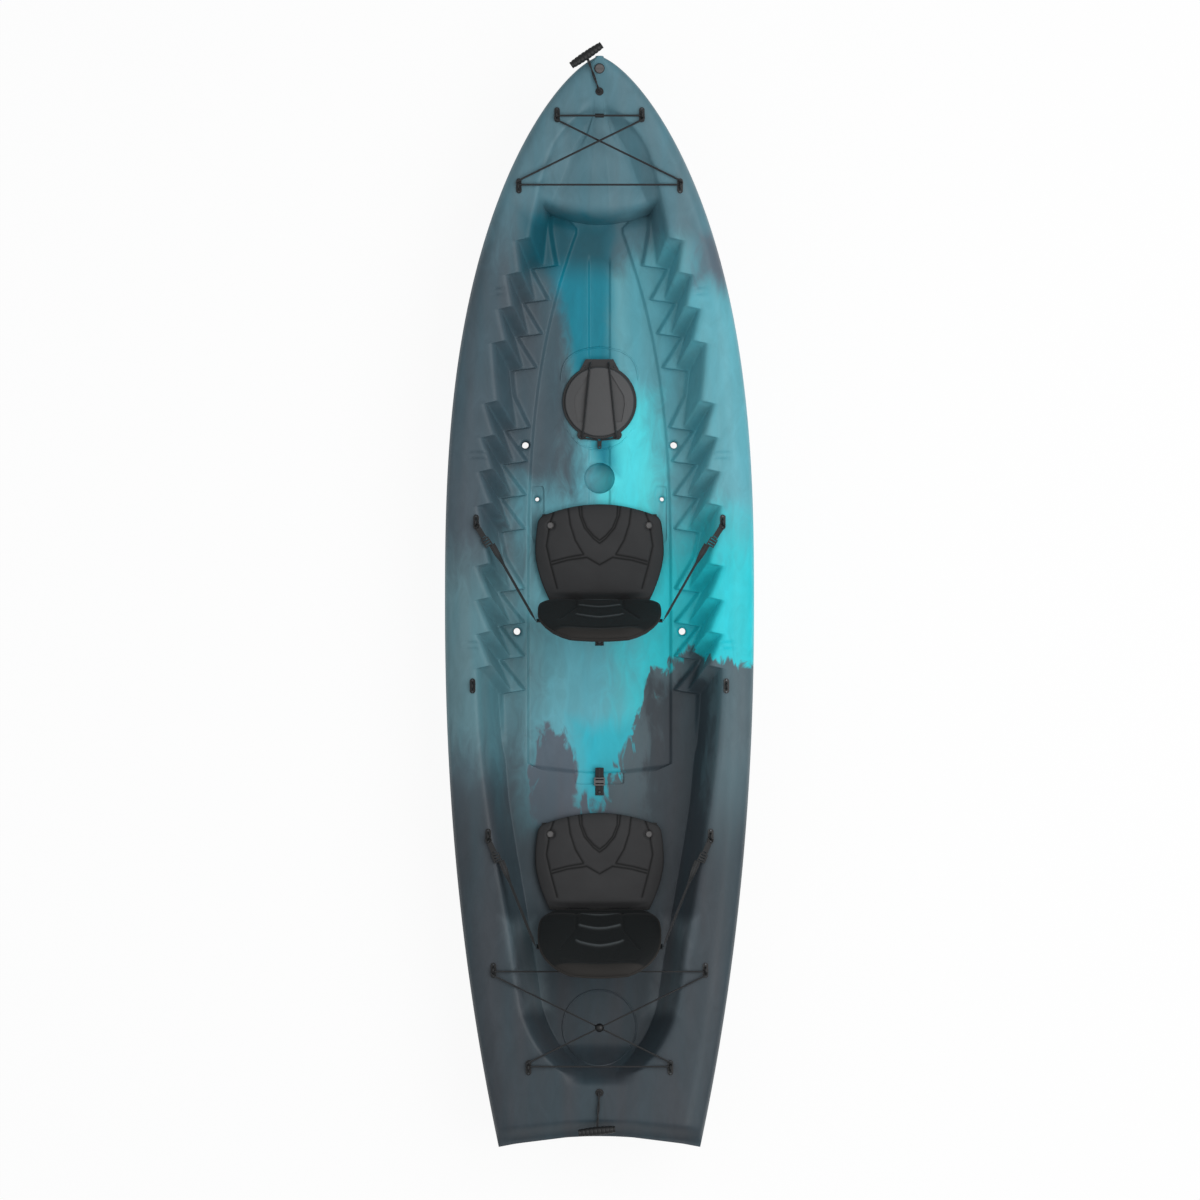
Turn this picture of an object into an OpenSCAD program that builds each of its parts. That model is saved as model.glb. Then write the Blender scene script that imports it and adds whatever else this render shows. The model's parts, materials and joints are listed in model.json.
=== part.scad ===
// Sit-on-top tandem kayak: a moulded deck and hull with two folding seats, a round hatch,
// deck bungees and carry handles.
// Frame: +Y to the bow, +X to starboard, +Z up, origin on the keel amidships. Millimetres.

/* [Hull] */
// Length of the hull from the bow tip to the transom corners
hull_length = 3200; // [3100:10:3400]
// Greatest beam of the hull
hull_beam = 910; // [880:2:950]
// Width of the transom
transom_w = 592; // [560:2:640]
// Hollow of the transom, seen from above
transom_hollow = 32; // [10:1:45]
// Wall of the deck and hull mouldings
wall = 4.5; // [4:0.5:6]
// Height of the seam above the keel amidships
seam_h = 215; // [205:1:240]
// Rise of the seam from amidships to the bow
bow_rise = 95; // [70:1:120]
// Rise of the seam from amidships to the stern
stern_rise = 35; // [20:1:60]
// Lift of the keel at the transom
stern_lift = 80; // [50:1:100]
// Width of the flat keel pad that the hull rests on
keel_pad_w = 200; // [160:2:240]

/* [Deck] */
// Height of the gunwale deck above the seam
gunwale_h = 58; // [50:1:70]
// Width of the gunwale, from the hull's side to the cockpit rim
gunwale_w = 95; // [90:1:105]
// Width of the sloped band outside the gunwale deck
band_w = 50; // [42:1:56]
// Outward fall of the gunwale deck
camber = 4; // [2:0.5:6]
// Depth of the bow well
bow_well_d = 45; // [30:1:60]
// Height of the cockpit floor above the keel
floor_h = 95; // [90:1:110]
// Width of the centre floor
floor_w = 422; // [410:2:436]
// Rise of the side ledges above the centre floor
ledge_h = 12; // [8:1:16]
// Rise of the rear seat platform above the cockpit floor
platform_h = 12; // [8:1:20]
// Horizontal run of the cockpit's side walls
wall_run = 60; // [54:1:66]
// Width of the centre channel
channel_w = 62; // [50:1:76]
// Depth of the centre channel
channel_d = 6; // [3:0.5:8]

/* [Footrests] */
// Distance between footrests of a group
footrest_pitch = 100; // [94:1:104]
// Distance between groups of footrests
footrest_group = 477; // [460:1:490]
// Depth of a footrest's face at the rim
footrest_depth = 38; // [30:1:42]
// Distance that a footrest's face leans aft from rim to foot
footrest_lean = 75; // [60:1:85]
// Width of a footrest's heel ledge
heel_w = 34; // [26:1:38]
// Height of a footrest's heel ledge
heel_h = 25; // [18:1:32]

/* [Scuppers] */
// Bore of the four main scuppers
scupper_d = 20; // [16:0.5:24]
// Bore of the two seat drains
drain_d = 12; // [10:0.5:14]
// Wall of the scupper tubes
scupper_wall = 4; // [3:0.5:5]

/* [Hatch] */
// Diameter of the hatch ring
hatch_d = 220; // [200:1:236]
// Diameter of the hatch lid
lid_d = 204; // [190:1:208]
// Thickness of the hatch ring's flange
flange_t = 6; // [5:0.5:8]
// Diameter of the cup holder
cup_d = 91; // [80:1:96]
// Depth of the cup holder
cup_depth = 60; // [45:1:66]

/* [Seats] */
// Width of a seat pad
seat_w = 384; // [360:2:396]
// Length of a seat pad
seat_l = 280; // [260:2:284]
// Thickness of a seat pad at its crown
seat_t = 30; // [24:1:36]
// Width of a backrest
back_w = 356; // [330:2:370]
// Height of a backrest
back_h = 330; // [300:2:350]
// Thickness of a back pad
back_t = 26; // [20:1:32]
// Forward wrap of a backrest's sides
back_wrap = 20; // [12:1:30]
// Recline of the front backrest from upright
front_recline = 20; // [16:1:26]
// Recline of the rear backrest from upright
rear_recline = 33; // [26:1:36]
// Diameter of the seat hinge pins
pin_d = 8; // [6:0.5:9]
// Width of the seat straps
strap_w = 18; // [14:1:20]
// Thickness of the seat straps
strap_t = 2; // [1.5:0.1:2.4]

/* [Fittings] */
// Diameter of the bow bungee
bow_cord_d = 6; // [5:0.2:6.4]
// Diameter of the stern bungee
stern_cord_d = 5; // [4:0.2:6]
// Length of the carry handles
grip_l = 108; // [90:1:124]
// Diameter of the carry handles at their middle
grip_d = 26; // [20:0.5:30]
// Diameter of the carry handle cords
rope_d = 8; // [6:0.2:9]
// Length of the carry handle cords
rope_l = 112; // [106:1:120]
// Diameter of the drain plug's head
plug_d = 26; // [22:0.5:30]

/* [Hidden] */
$fn = 48;

// Colours of the mouldings, fittings and soft goods
deck_colour = "#2f9aa6";
hull_colour = "#3b4a54";
black_plastic = "#1b1c1e";
grey_plastic = "#4b4b4c";
pad_colour = "#3a3a3a";
back_colour = "#141718";
steel = "#b4b6b8";

half_l = hull_length / 2;
beam_r = hull_beam / 2;

// Gap between pieces that rest on each other, and between the two mouldings at their seam
seat_gap = 0.3;
seam_gap = 0.2;

// Curves of the hull's outline, sheer and keel
tip_r = 12;
bow_power = 2.6;
bow_fullness = 0.7;
stern_power = 2.15;
sheer_power = 2.2;
stem_foot = 25;
stem_h = seam_h + bow_rise - stem_foot;
keel_bow_start = 0.5;
keel_stern_start = 0.6;
keel_power = 2.4;
bow_drop = 0.55;
stern_round = 60;
hollow_reach = 250;
band_bow_w = 28;
bow_section = 80;
floor_section = 40;
skin_taper = 0.1;

// Places along the hull, from the bow tip or as shares of its half length
step_y = half_l - 474;
well_bow_y = half_l - 134;
footrest_y = half_l - 536;
channel_y = half_l - 574;
hatch_y = 0.37125 * half_l;
cup_y = hatch_y - 226;
front_seat_y = hatch_y - 302;
rear_seat_y = -0.388125 * half_l;
platform_y = rear_seat_y + 115;
plug_y = half_l - 37;
bow_rope_y = half_l - 104;

// Places along the hull, from the transom
well_stern_y = 180 - half_l;
ramp_back = 26;
stern_ramp_y = rear_seat_y - seat_l - ramp_back;
stern_rope_y = 163 - half_l;

// Wells and ramps
well_bow_r = 120;
well_stern_r = 250;
rim_strip = 0.3;
stern_margin = 48;
bow_ramp_h = 40;
ramp_fore = 120;
bow_ramp_l = step_y - 12 - hatch_y - ramp_fore;
stern_ramp_h = 30;
stern_ramp_l = 450;
bow_arc = 30;
platform_arc = 40;
bow_dome = 10;
rim_round = 6;
rim_drop = 14;

// Footrests: groups a side, footrests in a group, and the draft of a footrest's face along the hull
groups = 3;
per_group = 4;
face_draft = 8;
footrest_n = groups * per_group;

function clamp01(t) = min(1, max(0, t));
function smooth(t) = let (u = clamp01(t)) u * u * (3 - 2 * u);
function arc_in(t) = let (u = clamp01(t)) sqrt(1 - (1 - u) * (1 - u));
function mix(a, b, t) = a + (b - a) * t;

// Hull lines: half beam, seam height and keel height at a station
function half_beam(y) =
    let (f = min(1, max(-1, y / half_l)))
    f > 0 ? max(tip_r, beam_r * pow(1 - pow(f, bow_power), bow_fullness))
          : beam_r - (beam_r - transom_w / 2) * pow(-f, stern_power);
function seam_z(y) =
    let (f = min(1, abs(y) / half_l))
    seam_h + (y > 0 ? bow_rise : stern_rise) * pow(f, sheer_power);
function keel_z(y) =
    let (f = y / half_l)
    f > 0 ? stem_h * pow(clamp01((f - keel_bow_start) / (1 - keel_bow_start)), keel_power)
          : stern_lift * pow(clamp01((-f - keel_stern_start) / (1 - keel_stern_start)), 2);
function hollow(x, y) =
    transom_hollow * (1 - pow(x / half_beam(y), 2)) * smooth((-y - half_l + hollow_reach) / hollow_reach);

// Deck lines: gunwale height, band width and the rim of the long well
function gunwale_z(y) =
    let (full = seam_z(y) + gunwale_h * (1 - bow_drop * smooth((y / half_l - 0.7) / 0.3)))
    mix(full, seam_z(y) + wall + seam_gap, smooth((-y - half_l + stern_round) / stern_round));
function band(y) = mix(band_w, band_bow_w, smooth((y / half_l - 0.4) / 0.3));
function well_end(y) =
    arc_in((well_bow_y - y) / well_bow_r) * arc_in((y - well_stern_y) / well_stern_r);
function rim_out(y) =
    let (margin = gunwale_w + stern_margin * smooth((-y - 250) / 900))
    max(rim_strip * half_beam(y), (half_beam(y) - margin) * well_end(y));

// Footrests: where each face meets the rim, and the saw-tooth of the rim and of the heel ledges
function footrest(k) = footrest_y - footrest_group * floor(k / per_group) - footrest_pitch * (k % per_group);
function lean(s) =
    footrest_lean * smooth((footrest(0) + 230 - s) / 150)
        * smooth((s - footrest(footrest_n - 1) + 230) / 220);
function next_footrest(s) = [for (k = [0:footrest_n - 1]) if (footrest(k) < s) k][0];
function rim_saw(s) =
    s >= footrest(0) ? clamp01((footrest(0) + 260 - s) / 260)
    : s <= footrest(footrest_n - 1) ? 0
    : let (k = next_footrest(s)) (footrest(k - 1) - s) / (footrest(k - 1) - footrest(k));
function heel_saw(s) =
    s <= footrest(footrest_n - 1) ? 0
    : clamp01(1 - (s - footrest(next_footrest(s))) / footrest_pitch);
function rim_at(y) = rim_out(y) - footrest_depth * rim_saw(y);
last_footrest = footrest(footrest_n - 1);

// Floor of the long well, its side ledges and its centre channel
function in_cockpit(y) = smooth((step_y - 12 - y) / 20) * smooth((y - platform_y + 8) / 16);
function well_open(y) = smooth((well_bow_y + 12 - y) / 90) * smooth((y - well_stern_y + 10) / 130);
function floor_z(y) =
    let (
        cockpit = floor_h + bow_ramp_h * smooth((y - step_y + 12 + bow_ramp_l) / bow_ramp_l)
            + platform_h * smooth((platform_y + 8 - y) / 16)
            + stern_ramp_h * smooth((stern_ramp_y - y) / stern_ramp_l),
        bow = gunwale_z(y) - bow_well_d
    )
    mix(gunwale_z(y), mix(cockpit, bow, smooth((y - step_y + 12) / 24)), well_open(y));
function floor_half(y) = floor_w / 2 * (y > 0 ? 1 - pow(min(1, y / (step_y + 115)), 2.94) : 1);
function channel_at(y) = channel_d * smooth((channel_y - y) / 20) * smooth((y - front_seat_y + 60) / 20);
function deck_z(x, y) =
    let (inner = rim_at(y) + rim_round, outer = half_beam(y) - band(y))
    gunwale_z(y - hollow(x, y)) - camber * clamp01((abs(x) - inner) / (outer - inner));

// One half of a deck station, from the centreline out to the seam. A row is its place along the rim,
// its rim saw-tooth and its heel saw-tooth. Points inboard of the rim lie further aft by the lean.
function deck_half(row) =
    let (
        s = row[0],
        y = s - lean(s),
        b = half_beam(s),
        k = min(1, b / bow_section),
        rim = rim_out(s) - footrest_depth * row[1],
        run = min(wall_run, 0.55 * rim_out(y)),
        foot = max(0.45 * rim_out(y), rim_out(y) - footrest_depth * row[1] - run),
        heel = foot - heel_w * row[2],
        zf = floor_z(y),
        zl = zf + ledge_h * in_cockpit(y),
        zh = zl + heel_h * in_cockpit(y) * smooth((y - last_footrest + 260) / 180),
        zr = gunwale_z(s),
        edge = b - min(band(s), 0.45 * b),
        m = min(1, foot / floor_section),
        channel = min(channel_w / 2, 0.25 * foot),
        wide = mix(0.6 * foot, max(channel + 9, floor_half(y)), in_cockpit(y)),
        ledge = max(channel + 8 * m, min(wide, heel - 16 * m)),
        dome = bow_dome * smooth((y - step_y) / 60) * well_open(y),
        curve = bow_arc * smooth(1 - abs(y - step_y) / 140)
            + platform_arc * smooth(1 - abs(y - platform_y) / 100),
        zc = zf - channel_at(y),
        inner = [
            [0, zc + dome],
            [channel - 3 * m, zc + dome],
            [channel + 3 * m, zf + 0.9 * dome],
            [ledge - 4 * m, zf + 0.6 * dome],
            [ledge + 4 * m, zl + 0.5 * dome],
            [heel - 4 * m, zl],
            [heel, zh],
            [foot + 3 * m, zh + m * well_open(y)]
        ],
        outer = [
            [rim - rim_round * k, zr - rim_drop * k * well_open(s)],
            [rim + rim_round * k, zr],
            [edge, max(zr - camber * k, seam_z(s) + wall + seam_gap)],
            [b - 6 * k, mix(seam_z(s), zr, 0.55)],
            [b, seam_z(s) + seam_gap]
        ]
    )
    [
        for (p = inner) [p[0], y + hollow(p[0], y) + curve * pow(p[0] / foot, 2), p[1]],
        for (p = outer) [p[0], s + hollow(p[0], s), p[1]]
    ];

// The underside of a deck half: each point moves one wall along the station's normal, and the
// footrest faces also move one wall forward.
function deck_under(p, s) =
    let (t = min(wall, skin_taper * half_beam(s)), lean_share = lean(s) / footrest_lean, last = len(p) - 1)
    [for (j = [0:last])
        let (
            a = j == 0 ? [-p[1][0], p[1][1], p[1][2]] : p[j - 1],
            c = p[min(last, j + 1)],
            d = norm([c[0] - a[0], c[2] - a[2]]),
            nx = (c[2] - a[2]) / d,
            nz = (a[0] - c[0]) / d,
            z = p[j][2] + t * nz
        )
        j == last ? [p[j][0] - t, p[j][1], p[j][2]]
        : [
            p[j][0] + t * nx * (1 + 0.4 * lean_share),
            p[j][1] + t * abs(nx) * lean_share,
            j > last - 3 ? max(z, seam_z(s) + seam_gap) : z
        ]];

// One half of a hull station: share of the half beam and of the side's height, keel to seam
bilge = [
    [0.32, 0.055], [0.46, 0.075], [0.6, 0.05], [0.74, 0.13],
    [0.87, 0.3], [0.95, 0.55], [0.99, 0.8], [1, 1]
];
function hull_half(y) =
    let (b = half_beam(y), z0 = keel_z(y), z1 = seam_z(y) - seam_gap, pad = keel_pad_w / hull_beam)
    [for (q = [[0, 0], [pad, 0], each bilge])
        let (x = q[0] * b) [x, y + hollow(x, y), z0 + (z1 - z0) * q[1]]];
function hull_inner(p, y, closed) =
    let (t = min(wall, skin_taper * half_beam(y)), last = len(p) - 1)
    [for (j = [0:last])
        let (
            a = j == 0 ? [-p[1][0], p[1][1], p[1][2]] : p[j - 1],
            c = p[min(last, j + 1)],
            d = norm([c[0] - a[0], c[2] - a[2]]),
            x = p[j][0] - t * (c[2] - a[2]) / d,
            z = p[j][2] + t * (c[0] - a[0]) / d
        )
        j == last ? [p[j][0] - t, p[j][1], p[j][2]]
        : [x, p[j][1], closed ? p[last][2] : min(z, p[last][2])]];

// Both halves of a station, port to starboard, and one half turned to the port side
function mirrored(p) = [for (j = [len(p) - 1:-1:0]) [-p[j][0], p[j][1], p[j][2]]];
function both(p) = [each mirrored([for (j = [1:len(p) - 1]) p[j]]), each p];

// A half station is parted at the foot of the rim: tray inboard, gunwale outboard
rim_col = 8;
part_gap = 0.3;
function tray_half(p) =
    [for (j = [0:rim_col]) p[j] - [j == rim_col ? part_gap / 2 : 0, 0, 0]];
function gunwale_half(p) =
    [for (j = [rim_col:len(p) - 1]) p[j] + [j == rim_col ? part_gap / 2 : 0, 0, 0]];

// A closed sheet between an upper and a lower grid of points, rows bow to stern, columns port to starboard
module sheet(upper, lower) {
    rows = len(upper);
    cols = len(upper[0]);
    n = rows * cols;
    function at(i, j) = i * cols + j;
    function quad(a, b, c, d) = [[a, b, c], [a, c, d]];
    faces = [
        for (i = [0:rows - 2], j = [0:cols - 2])
            each quad(at(i, j), at(i, j + 1), at(i + 1, j + 1), at(i + 1, j)),
        for (i = [0:rows - 2], j = [0:cols - 2])
            each quad(n + at(i, j), n + at(i + 1, j), n + at(i + 1, j + 1), n + at(i, j + 1)),
        for (j = [0:cols - 2]) each quad(at(0, j + 1), at(0, j), n + at(0, j), n + at(0, j + 1)),
        for (j = [0:cols - 2])
            each quad(at(rows - 1, j), at(rows - 1, j + 1), n + at(rows - 1, j + 1), n + at(rows - 1, j)),
        for (i = [0:rows - 2]) each quad(at(i + 1, 0), n + at(i + 1, 0), n + at(i, 0), at(i, 0)),
        for (i = [0:rows - 2])
            each quad(at(i + 1, cols - 1), at(i, cols - 1), n + at(i, cols - 1), n + at(i + 1, cols - 1))
    ];
    polyhedron(points = [for (r = upper) each r, for (r = lower) each r], faces = faces, convexity = 10);
}

// Deck stations, bow to stern: bow and stern rows by their distance from the ends, two rows for each
// footrest face, and even rows between
bow_rows = [0, 6, 18, 40, 70, 100, 124, 140, 160, 190, 230, 280, 340, 400, 440, 462, 486, 510];
stern_rows = [480, 430, 380, 330, 290, 250, 215, 190, 172, 150, 110, 70, 45, 25, 10, 0];
mid_rows = 4;
aft_rows = 4;
ramp_rows = 3;
function plain_row(s) = [s, rim_saw(s), heel_saw(s)];
aft_start = platform_y - 8;
deck_rows = [
    for (d = bow_rows) plain_row(half_l - d),
    for (k = [0:footrest_n - 1]) each [
        if (k > 0 && k % per_group == 0) plain_row(footrest(k) + footrest_pitch),
        [footrest(k) + face_draft / 2, 1, 1],
        [footrest(k) - face_draft / 2, 0, 0]
    ],
    for (i = [1:mid_rows]) plain_row(mix(last_footrest, platform_y + 8, i / mid_rows)),
    for (i = [0:aft_rows - 1]) plain_row(mix(aft_start, stern_ramp_y, i / aft_rows)),
    for (i = [0:ramp_rows - 1]) plain_row(mix(stern_ramp_y, stern_rows[0] - half_l, i / ramp_rows)),
    for (d = stern_rows) plain_row(d - half_l)
];
// Hull stations are the deck's, with one for each footrest
hull_rows = [for (r = deck_rows) if (r[1] > 0 || r[0] > footrest(0) || r[0] < last_footrest) r[0]];
hull_open_rows = [for (y = hull_rows) if (y >= wall - half_l) y];

// Scuppers: place of each main scupper and seat drain
scuppers = [
    for (side = [-1, 1]) [side * 220, footrest(5) - 21],
    for (side = [-1, 1]) [side * 245, footrest(9) - 96]
];
seat_drains = [for (side = [-1, 1]) [side * 185, front_seat_y + 14]];
sink_in = 3;
sink_depth = 8;
lip_out = 9;
lip_t = 2;
tube_gap = 0.3;
function tube_d(bore) = bore + 2 * scupper_wall;
hull_skin_z = 14;
ledge_z = floor_h + ledge_h;

// Hatch: seat pad, ring neck and lid
hatch_pad_r = hatch_d / 2 + 20;
hatch_pad_h = 3;
neck_t = 4;
neck_r = lid_d / 2 - 10;
neck_l = 24;
neck_gap = 0.4;
hatch_z = floor_h + hatch_pad_h + seat_gap;
gasket_t = 2.6;
lid_z = hatch_z + flange_t + gasket_t + 2 * seat_gap;
lid_t = 7;
lid_crown = 5;
skirt_l = 12;
skirt_gap = 1.6;
hatch_cord_d = 5;
bracket_w = 82;
bracket_base_w = 116;
bracket_y = hatch_y + 126;
cord_hole_x = 27;
cord_pivot_y = hatch_y + 115;
cord_pivot_z = hatch_z + flange_t + hatch_cord_d / 2 + 0.5;
lug_x = 52;
lug_y = hatch_y - 98;
tab_y = hatch_y - hatch_d / 2 - 6;

cup_wall = 4;
cup_lip = 2;

// Bow drain
drain_bore = 17;
bushing_gap = 0.8;
bushing_flange_d = 30;
bushing_l = 16;
bushing_t = 2;
washer_t = 2;
plug_t = 5;
plug_gap = 0.1;

// Carry handles: pivot above the deck, and the angle that each toggle lies at
rope_pivot_h = 7.2;
rope_ball_d = 14;
grommet_d = 24;
grommet_t = 2.4;
grommet_bore = 9;
bow_rope_turn = 20;
stern_rope_turn = 176;
grip_bow_turn = 34;
grip_stern_turn = 6;

// Pad eyes
eye_l = 44;
eye_w = 16;
eye_t = 3;
eye_r = 9;
eye_bar = 5;
eye_leg = 5;
eye_screw_x = 17;
screw_d = 4;
screw_head_d = 7;
cord_h = eye_t + eye_leg + 2;
bow_eyes = [[124, half_l - 172], [236, half_l - 380]];
stern_eyes = [[311, rear_seat_y - 458], [208, 236 - half_l]];
strap_eye_y = [front_seat_y - 56, front_seat_y - 537, rear_seat_y - 65];
strap_eye_in = 15;
function strap_eye_x(i) = rim_at(strap_eye_y[i]) + strap_eye_in;

// Seats: pan and hinge under the pad, backrest in a flat frame that rises from the hinge
pan_t = 4;
pan_in = 14;
hinge_back = 292;
hinge_up = pan_t + 28;
knuckle_r = 9;
knuckle_gap = 0.3;
pin_fit = 0.05;
shell_t = 6;
shell_in = 6;
back_foot = 14;
strap_up = 200;
stud_x = 146;
stud_y = 64;
stud_d = 20;
stud_seat = 20;
stud_shank = 6;
seat_ys = [front_seat_y, rear_seat_y];
reclines = [front_recline, rear_recline];
function seat_base(i) = floor_h + (i == 0 ? 0 : platform_h) + seat_gap;
function hinge_y(i) = seat_ys[i] - hinge_back;
function hinge_z(i) = seat_base(i) + hinge_up;
// A point of a backrest: across, up from the hinge and forward of the hinge plane
function back_pt(i, x, v, h) =
    let (a = 90 - reclines[i])
    [x, hinge_y(i) - v * cos(a) + h * sin(a), hinge_z(i) + v * sin(a) + h * cos(a)];
function back_half(v) = back_w / 2 * pow(1 - pow(abs(v / back_h - 0.48) / 0.56, 2.8), 0.45);
function wrap(x, v) = back_wrap * pow(x / (back_w / 2), 2) * smooth((v + 20) / 120);

// Snap hooks and adjusters, along the strap from the pad eye's aft leg
hook_ring_r = 8;
hook_bar = 4;
hook_off = 3;
hook_l = 46;
hook_w = 16;
hook_t = 5;
hook_h = eye_t + 3 + hook_t / 2;
adjuster_l = 26;
adjuster_w = 24;
adjuster_t = 4;
adjuster_slot = 3;
strap_start = hook_l + adjuster_l + 0.8;

// Anchor straps on the floor
anchor_l = 82;
anchor_w = 25;
anchor_t = 2.5;
buckle_l = 24;
buckle_w = 32;
buckle_t = 5;
anchor_ends = [
    [hinge_y(0) - 46, floor_h],
    [platform_y + 17, floor_h + platform_h]
];

// Deck halves: the upper skin and its underside at each station
deck_upper = [for (r = deck_rows) deck_half(r)];
deck_lower = [for (i = [0:len(deck_rows) - 1]) deck_under(deck_upper[i], deck_rows[i][0])];

// Holes in the deck for the drain and the carry handles
module deck_bores() {
    translate([0, plug_y, seam_z(plug_y)])
        cylinder(d = drain_bore + 2 * bushing_t + 2 * bushing_gap, h = 2 * gunwale_h);
    for (y = [bow_rope_y, stern_rope_y])
        translate([0, y, seam_z(y)])
            cylinder(d = grommet_bore + 2 * grommet_t + 2 * bushing_gap, h = 2 * gunwale_h);
}

// Deck moulding: lofted tray with the hatch pad and cup, then all bores
module deck_moulding() {
    color(deck_colour)
    difference() {
        union() {
            sheet([for (h = deck_upper) both(tray_half(h))], [for (h = deck_lower) both(tray_half(h))]);
            translate([0, hatch_y, floor_h - channel_d - wall / 2])
                cylinder(r = hatch_pad_r, h = channel_d + wall / 2 + hatch_pad_h, $fn = 96);
            translate([0, cup_y, floor_h - cup_depth - cup_wall])
                cylinder(d = cup_d + 2 * cup_wall, h = cup_depth + cup_wall + cup_lip, $fn = 64);
        }
        translate([0, hatch_y, 0])
            cylinder(r = neck_r + neck_gap, h = 2 * floor_h, $fn = 96);
        translate([0, cup_y, floor_h - cup_depth])
            cylinder(d = cup_d, h = 2 * cup_depth, $fn = 64);
        for (p = scuppers)
            translate([p[0], p[1], 0])
                cylinder(d = tube_d(scupper_d) + 2 * tube_gap, h = 2 * floor_h);
        for (p = seat_drains)
            translate([p[0], p[1], 0])
                cylinder(d = tube_d(drain_d) + 2 * tube_gap, h = 2 * floor_h);
        deck_bores();
    }
}

// Gunwales: the sides of the deck from the foot of the rim to the seam
module gunwale_port() {
    color(deck_colour)
    difference() {
        sheet(
            [for (h = deck_upper) mirrored(gunwale_half(h))],
            [for (h = deck_lower) mirrored(gunwale_half(h))]
        );
        deck_bores();
    }
}

module gunwale_starboard() {
    color(deck_colour)
    difference() {
        sheet([for (h = deck_upper) gunwale_half(h)], [for (h = deck_lower) gunwale_half(h)]);
        deck_bores();
    }
}

// Scupper tubes: each runs from a flared lip in the floor down through the hull
module scupper_tube(bore, top) {
    rotate_extrude()
        polygon([
            [bore / 2, hull_skin_z], [tube_d(bore) / 2, hull_skin_z], [tube_d(bore) / 2, top + tube_gap],
            [bore / 2 + lip_out, top + tube_gap], [bore / 2 + lip_out, top + tube_gap + lip_t / 2],
            [tube_d(bore) / 2 + 1, top + tube_gap + lip_t],
            [bore / 2 + sink_in, top + tube_gap + lip_t], [bore / 2, top - sink_depth]
        ]);
}

module scupper_tubes() {
    color(deck_colour)
    union() {
        for (p = scuppers)
            translate([p[0], p[1], 0])
                scupper_tube(scupper_d, ledge_z);
        for (p = seat_drains)
            translate([p[0], p[1], 0])
                scupper_tube(drain_d, floor_h);
    }
}

// Hull moulding: lofted skin with a solid transom, and clearance holes for the scupper tubes
module hull_moulding() {
    rows = [
        for (y = hull_open_rows) [y, false],
        [wall - half_l, false],
        [wall - half_l - 0.5, true],
        [-half_l, true]
    ];
    halves = [for (r = rows) hull_half(r[0])];
    color(hull_colour)
    difference() {
        sheet(
            [for (i = [0:len(rows) - 1]) both(hull_inner(halves[i], rows[i][0], rows[i][1]))],
            [for (h = halves) both(h)]
        );
        for (p = scuppers)
            translate([p[0], p[1], -1])
                cylinder(d = tube_d(scupper_d) + 2 * tube_gap, h = floor_h);
        for (p = seat_drains)
            translate([p[0], p[1], -1])
                cylinder(d = tube_d(drain_d) + 2 * tube_gap, h = floor_h);
    }
}

// Slopes of the deck across and along, and a point given from a place on it
function deck_slope(x, y) =
    let (probe = 5)
    [deck_z(x + probe, y) - deck_z(x - probe, y), deck_z(x, y + probe) - deck_z(x, y - probe)] / (2 * probe);
function deck_pt(x, y, q) =
    let (
        slope = deck_slope(x, y),
        a = atan(slope[1]),
        b = -atan(slope[0]),
        r = [q[0], q[1] * cos(a) - q[2] * sin(a), q[1] * sin(a) + q[2] * cos(a)]
    )
    [x, y, deck_z(x, y) + seat_gap] + [r[0] * cos(b) + r[2] * sin(b), r[1], r[2] * cos(b) - r[0] * sin(b)];

// Places children on the sloping gunwale or bow deck, one gap above it
module on_deck(x, y) {
    slope = deck_slope(x, y);
    translate([x, y, deck_z(x, y) + seat_gap])
        rotate([atan(slope[1]), -atan(slope[0]), 0])
            children();
}

// A closed skin over rings of points, each ring counter-clockwise about the way that the rings run
module skin(rings) {
    n = len(rings);
    m = len(rings[0]);
    function at(i, k) = i * m + k % m;
    faces = [
        for (i = [0:n - 2], k = [0:m - 1])
            each [[at(i, k), at(i, k + 1), at(i + 1, k + 1)], [at(i, k), at(i + 1, k + 1), at(i + 1, k)]],
        [for (k = [m - 1:-1:0]) k],
        [for (k = [0:m - 1]) (n - 1) * m + k]
    ];
    polyhedron(points = [for (r = rings) each r], faces = faces, convexity = 6);
}

function unit(v) = v / norm(v);
// Side and up directions of a route at point i
function heading(path, i) = unit(path[min(len(path) - 1, i + 1)] - path[max(0, i - 1)]);
function side_of(t) = unit(cross(t, [0, 0, 1]));

// A round cord along a route
module cord(path, d, sides) {
    skin([for (i = [0:len(path) - 1])
        let (t = heading(path, i), s = side_of(t), u = cross(s, t))
        [for (k = [0:sides - 1]) path[i] + d / 2 * (cos(360 * k / sides) * s + sin(360 * k / sides) * u)]]);
}

// A route with each inner corner cut to a short curve of the given reach
function rounded(p, reach) = [
    p[0],
    for (i = [1:len(p) - 2])
        let (
            r = min(reach, 0.45 * norm(p[i] - p[i - 1]), 0.45 * norm(p[i + 1] - p[i])),
            a = p[i] + r * unit(p[i - 1] - p[i]),
            b = p[i] + r * unit(p[i + 1] - p[i])
        )
        each [a, (a + 2 * p[i] + b) / 4, b],
    p[len(p) - 1]
];

// A straight round rod between two points
module rod(a, b, d) {
    v = b - a;
    translate(a)
        rotate([0, acos(v[2] / norm(v)), atan2(v[1], v[0])])
            cylinder(d = d, h = norm(v));
}

// Drain: bushing in the bow deck, washer and slotted plug
module drain_bushing() {
    color(black_plastic)
    on_deck(0, plug_y)
        rotate_extrude()
            polygon([
                [drain_bore / 2, -bushing_l], [drain_bore / 2 + bushing_t, -bushing_l],
                [drain_bore / 2 + bushing_t, 0], [bushing_flange_d / 2, 0],
                [bushing_flange_d / 2, bushing_t], [drain_bore / 2, bushing_t]
            ]);
}

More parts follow.
